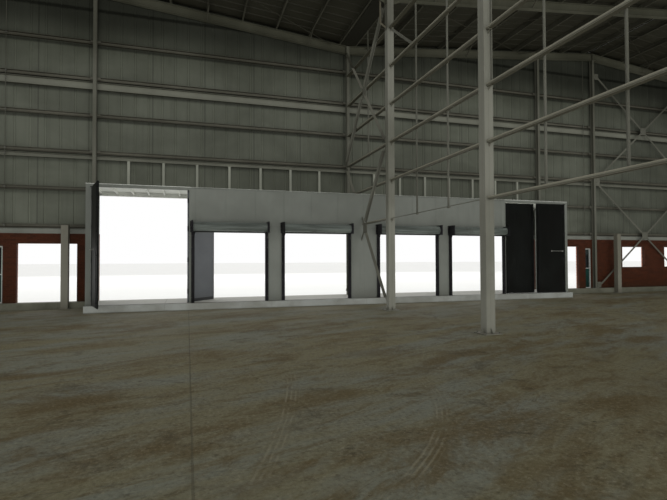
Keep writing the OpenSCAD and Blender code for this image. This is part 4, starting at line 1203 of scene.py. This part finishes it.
def bayTrim():
    stock = Stock("dock_panel", "zinc_bolts", "jamb_paint")
    y, edge, top = hall["wallIn"], bay["edge"], bay["top"]
    # an angle along the top of the header, cover strips and a drip over each opening
    stock.look = 2
    stock.block((-edge, edge), (y - 0.003, y), (2.385, top))
    stock.block((-edge, edge), (y - 0.018, y - 0.003), (top - 0.003, top))
    stock.look = 0
    for k in range(-6, 7):
        stock.block(about(k * bay["stripPitch"], 0.009), (y - bay["strip"], y), (1.80, 2.385))
    for left, right in shutterSpans:
        stock.block((left - 0.030, right + 0.030), (y - 0.004, y), (1.772, 1.800))
        stock.bolts([(x, y - 0.004, 1.786) for x in middles(left, right, 9)], (0, -1, 0),
                    bay["rivet"])
    stock.bolts([(x, y - 0.003, 2.397) for x in middles(-edge, edge, 48)], (0, -1, 0), bay["rivet"])
    stock.make("bay_trim", "dock_white")


def bayRoof():
    # hangers and bolts of the joists, an angle on the lintel, rivets on the cheeks
    stock = Stock("dock_white", "zinc_bolts")
    y, reach = bay["lintelY"], 5.3
    for x in ((i + 0.5) * 0.3 for i in range(17)):
        for ys in bay["hangers"]:
            for way in (-1, 1):
                stock.block((x + way * 0.0127, x + way * 0.0150), ys, (2.362, 2.408))
            stock.block(about(x, 0.015), ys, (2.3575, 2.3598))
    stock.bolts([(hall["cheek"], 7.42 + k * 0.116, z) for k in range(9)
                 for z in (0.35, 1.3, 2.25)], (-1, 0, 0), bay["rivet"])
    stock.mirror("x")
    stock.block((-reach, reach), (8.370, y), (2.3275, 2.3305))
    stock.block((-reach, reach), (y - 0.003, y), (2.3305, 2.3575))
    stock.bolts([(-5.15 + k * 10.3 / 35, y - 0.003, 2.345) for k in range(36)], (0, -1, 0), 0.005)
    stock.make("bay_roof_fittings", "dock_white")


def studFeet():
    stock = Stock("brace_paint", "zinc_bolts")
    for x in (i * bay["stud"] for i in range(-7, 8)):
        for z, way in bay["studEnds"]:
            stock.block(about(x, 0.045), (8.4045, 8.4455), (z, z + way * 0.005))
            stock.bolts([(u, bay["studY"], z + way * 0.005) for u in about(x, 0.036)],
                        (0, 0, way), 0.0055)
    stock.make("stud_feet", "frame_steel")


def sideLightTrim():
    stock = Stock("light_frame", "zinc_bolts")
    y, foot, head, bar = bay["studY"], bay["lightFoot"], bay["lightHead"], bay["lightBar"]
    a, b = bay["light"]
    # a folded lip round the frame, glazing beads, a middle bar
    for xs, zs in (((a, a + 0.008), (foot, head)), ((b - 0.008, b), (foot, head)),
                   ((a, b), (head - 0.008, head))):
        stock.block(xs, (y - 0.006, y), zs)
    stock.block((a + 0.025, b - 0.025), (y + 0.004, y + 0.0245), (bar - 0.018, bar))
    for x in (a + 0.025, b - 0.031):
        stock.block((x, x + 0.006), (y + 0.014, y + 0.0245), (bar, 1.275))
    stock.bolts([(x, y, z) for z in (0.28, 0.62, 0.96, 1.24) for x in (a + 0.0125, b - 0.0125)],
                (0, -1, 0), bay["rivet"])
    stock.mirror("x")
    stock.make("side_light_trim", "light_frame")


bayTrim()
bayRoof()
studFeet()
sideLightTrim()
print("loading bay dressed")

# Outside: flashings over the brickwork, gutter brackets, pipe clips, laps of the trims
outside = {
    "lap": 1.32, "rivet": 0.004, "lie": 0.0003,
    "drip": [(0, 0.052), (0.003, 0.052), (0.004, 0.014), (0.047, 0.003), (0.0495, -0.028),
             (0.0465, -0.028), (0.044, 0.0), (0, 0.010)],
    "gutterX": (14.6575, 14.7675), "gutterDeep": 0.0903, "straps": 23, "strapGap": 0.745,
    "pipeX": 14.7175, "pipeClips": (0.55, 1.45, 2.9, 4.3, 5.45),
    "capLap": 0.0016, "capHalf": 0.219, "capGap": 1.2, "bargeY": 8.475, "bargeLap": 0.0014,
}
roofTop = (hall["rafterDepth"] / 2 * math.cos(tilt) + hall["purlinDepth"]) / math.cos(tilt)


def layDrip(stock, start, end, place):
    # lengths of a folded strip that lap each other
    count = max(1, round((end - start) / outside["lap"]))
    step = (end - start) / count
    for i in range(count):
        a, b = start + i * step, start + (i + 1) * step + (0.02 if i < count - 1 else 0)
        lift = 0.0012 * (i % 2)
        stock.skin(*([place(at, u, v + lift) for u, v in outside["drip"]] for at in (a, b)))
        for share in (0.25, 0.75):
            at = place(a + (b - a) * share, 0.003, 0.040)
            stock.bolt(at, place(a + (b - a) * share, 1.0, 0.040) - at, outside["rivet"])


def drips():
    # the strip lies over the ledge of the brickwork and turns down its face
    stock = Stock("white_trim", "zinc_bolts")
    top, ends = hall["brickTop"], (5.36, 14.63)
    for side in (1, -1):
        def gable(at, u, v):
            return Vector((at, side * (hall["gableSheet"] + outside["lie"] + u), top + v))

        def flank(at, u, v):
            return Vector((side * (hall["sheetX"] + outside["lie"] + u), at, top + v))

        for a, b in ([(-ends[1], -ends[0]), ends] if side > 0 else [(-ends[1], ends[1])]):
            layDrip(stock, a, b, gable)
        layDrip(stock, -8.44, 8.44, flank)
    stock.make("brick_drips", "trim")


def gutterFittings():
    stock = Stock("white_trim", "zinc_bolts")
    inX, outX = outside["gutterX"]
    top, deep, x = rafterZ(outX) + roofTop - 0.004, outside["gutterDeep"], outside["pipeX"]
    for k in range(outside["straps"]):  # straps round the gutter
        y = -8.2 + k * outside["strapGap"]
        for xs, zs in (((inX, outX), (top - deep - 0.0022, top - deep)),
                       ((inX, outX), (top - 0.003, top - 0.0005)),
                       (about(outX, 0.001), (top - deep, top - 0.003))):
            stock.block(xs, about(y, 0.010), zs)
    for y in innerFrames[::2]:
        for z in outside["pipeClips"]:
            wall = hall["outX"] if z < 1.5 else hall["sheetX"]
            stock.rod((x, y, z - 0.010), (x, y, z + 0.010), 0.0335, 20)
            stock.block((wall, x), about(y, 0.006), about(z, 0.006))
            for way in (-1, 1):
                stock.bolt((x, y + way * 0.033, z), (0, way, 0), outside["rivet"])
        # outlet under the gutter and the shoe at the foot
        stock.rod((x, y, top - 0.16), (x, y, top - deep), 0.040, 16)
        stock.rod((x, y, 0.077), (x, y, 0.12), 0.036, 16)
    stock.mirror("x")
    stock.make("gutter_fittings", "trim")


def trimLaps():
    # laps and rivets of the ridge caps and the barge trims
    stock = Stock("white_trim", "zinc_bolts")
    capLift = roofTop + 0.020 / math.cos(tilt) + 0.0053
    ridge, thick, size = hall["ridge"], outside["capLap"], outside["rivet"]
    for k in range(14):
        y = -8.3 + outside["capGap"] * k + 0.3
        edges = ((y, 0.0002), (y, thick), (y + 0.06, thick), (y + 0.06, 0.0002))
        for way in (-1, 1):
            a, b = ridge + 0.002 * way, ridge + way * outside["capHalf"]
            stock.skin(*([(x, v, rafterZ(x) + capLift + lift) for v, lift in edges]
                         for x in (a, b)))
            for x in (a + (b - a) * share for share in (0.15, 0.5, 0.85)):
                stock.bolt((x, y + 0.03, rafterZ(x) + capLift + thick), (0, 0, 1), size)
    for end in (1, -1):
        face, front = (end * (outside["bargeY"] + lift) for lift in (0, outside["bargeLap"]))
        for x in (0.55 + outside["capGap"] * k for k in range(12)):
            z = rafterZ(x) + roofTop + 0.020
            stock.block(about(x, 0.03), (face, front), (z - 0.107, z - 0.005))
            stock.bolts([(x, front, z - drop) for drop in (0.025, 0.085)], (0, end, 0), size)
    stock.mirror("x")
    stock.make("trim_laps", "trim")


drips()
gutterFittings()
trimLaps()
print("outside dressed")

# Lamps and ground
lighting = {"sky": 0.95, "ground": (246, 246, 243)}
lamps = [
    # name, place, size, turn about X, watts
    ("lamp_above", (0.0, 2.0, 5.30), (28.2, 11.8), 0, 710),
    ("lamp_behind", (0.0, -7.9, 3.1), (28.2, 5.0), 90, 1500),
    ("lamp_below", (0.0, 0.0, 0.085), (28.2, 15.8), 180, 1150),
    ("lamp_front", (0.0, 32.0, 10.0), (36.0, 10.0), -73, 1700),
]


def lightHall():
    for name, place, size, turn, watts in lamps:
        data = bpy.data.lights.new(name, "AREA")
        data.shape, data.size, data.size_y, data.energy = "RECTANGLE", *size, watts
        lamp = bpy.data.objects.new(name, data)
        bpy.context.scene.collection.objects.link(lamp)
        lamp.location, lamp.rotation_euler = place, (math.radians(turn), 0, 0)
        lamp.visible_camera = lamp.visible_glossy = False


def paintSky():
    # plain white where it is seen, a little dimmer where it only lights
    world = bpy.data.worlds.new("sky")
    bpy.context.scene.world = world
    world.use_nodes = True
    back = world.node_tree.nodes["Background"]
    path = world.node_tree.nodes.new("ShaderNodeLightPath")
    first, second, third = (Reading(path.outputs["Is " + kind + " Ray"])
                            for kind in ("Camera", "Glossy", "Transmission"))
    seen = first | second | third
    joinTo((255, 255, 255), back.inputs["Color"])
    joinTo(seen * (1.0 - lighting["sky"]) + lighting["sky"], back.inputs["Strength"])


def layGround():
    bpy.ops.mesh.primitive_plane_add(size=400, location=(0, 0, 0))
    ground = bpy.context.object
    ground.name = "ground"
    f = Finish("ground", Roughness=0.95)
    f.feed(Base_Color=f.shade(tone(lighting["ground"]), 0.97 + f.noise(0.3, 4) * 0.06))
    ground.data.materials.append(finishes["ground"])


lightHall()
paintSky()
layGround()
print("lights and ground laid")

bpy.context.view_layer.update()
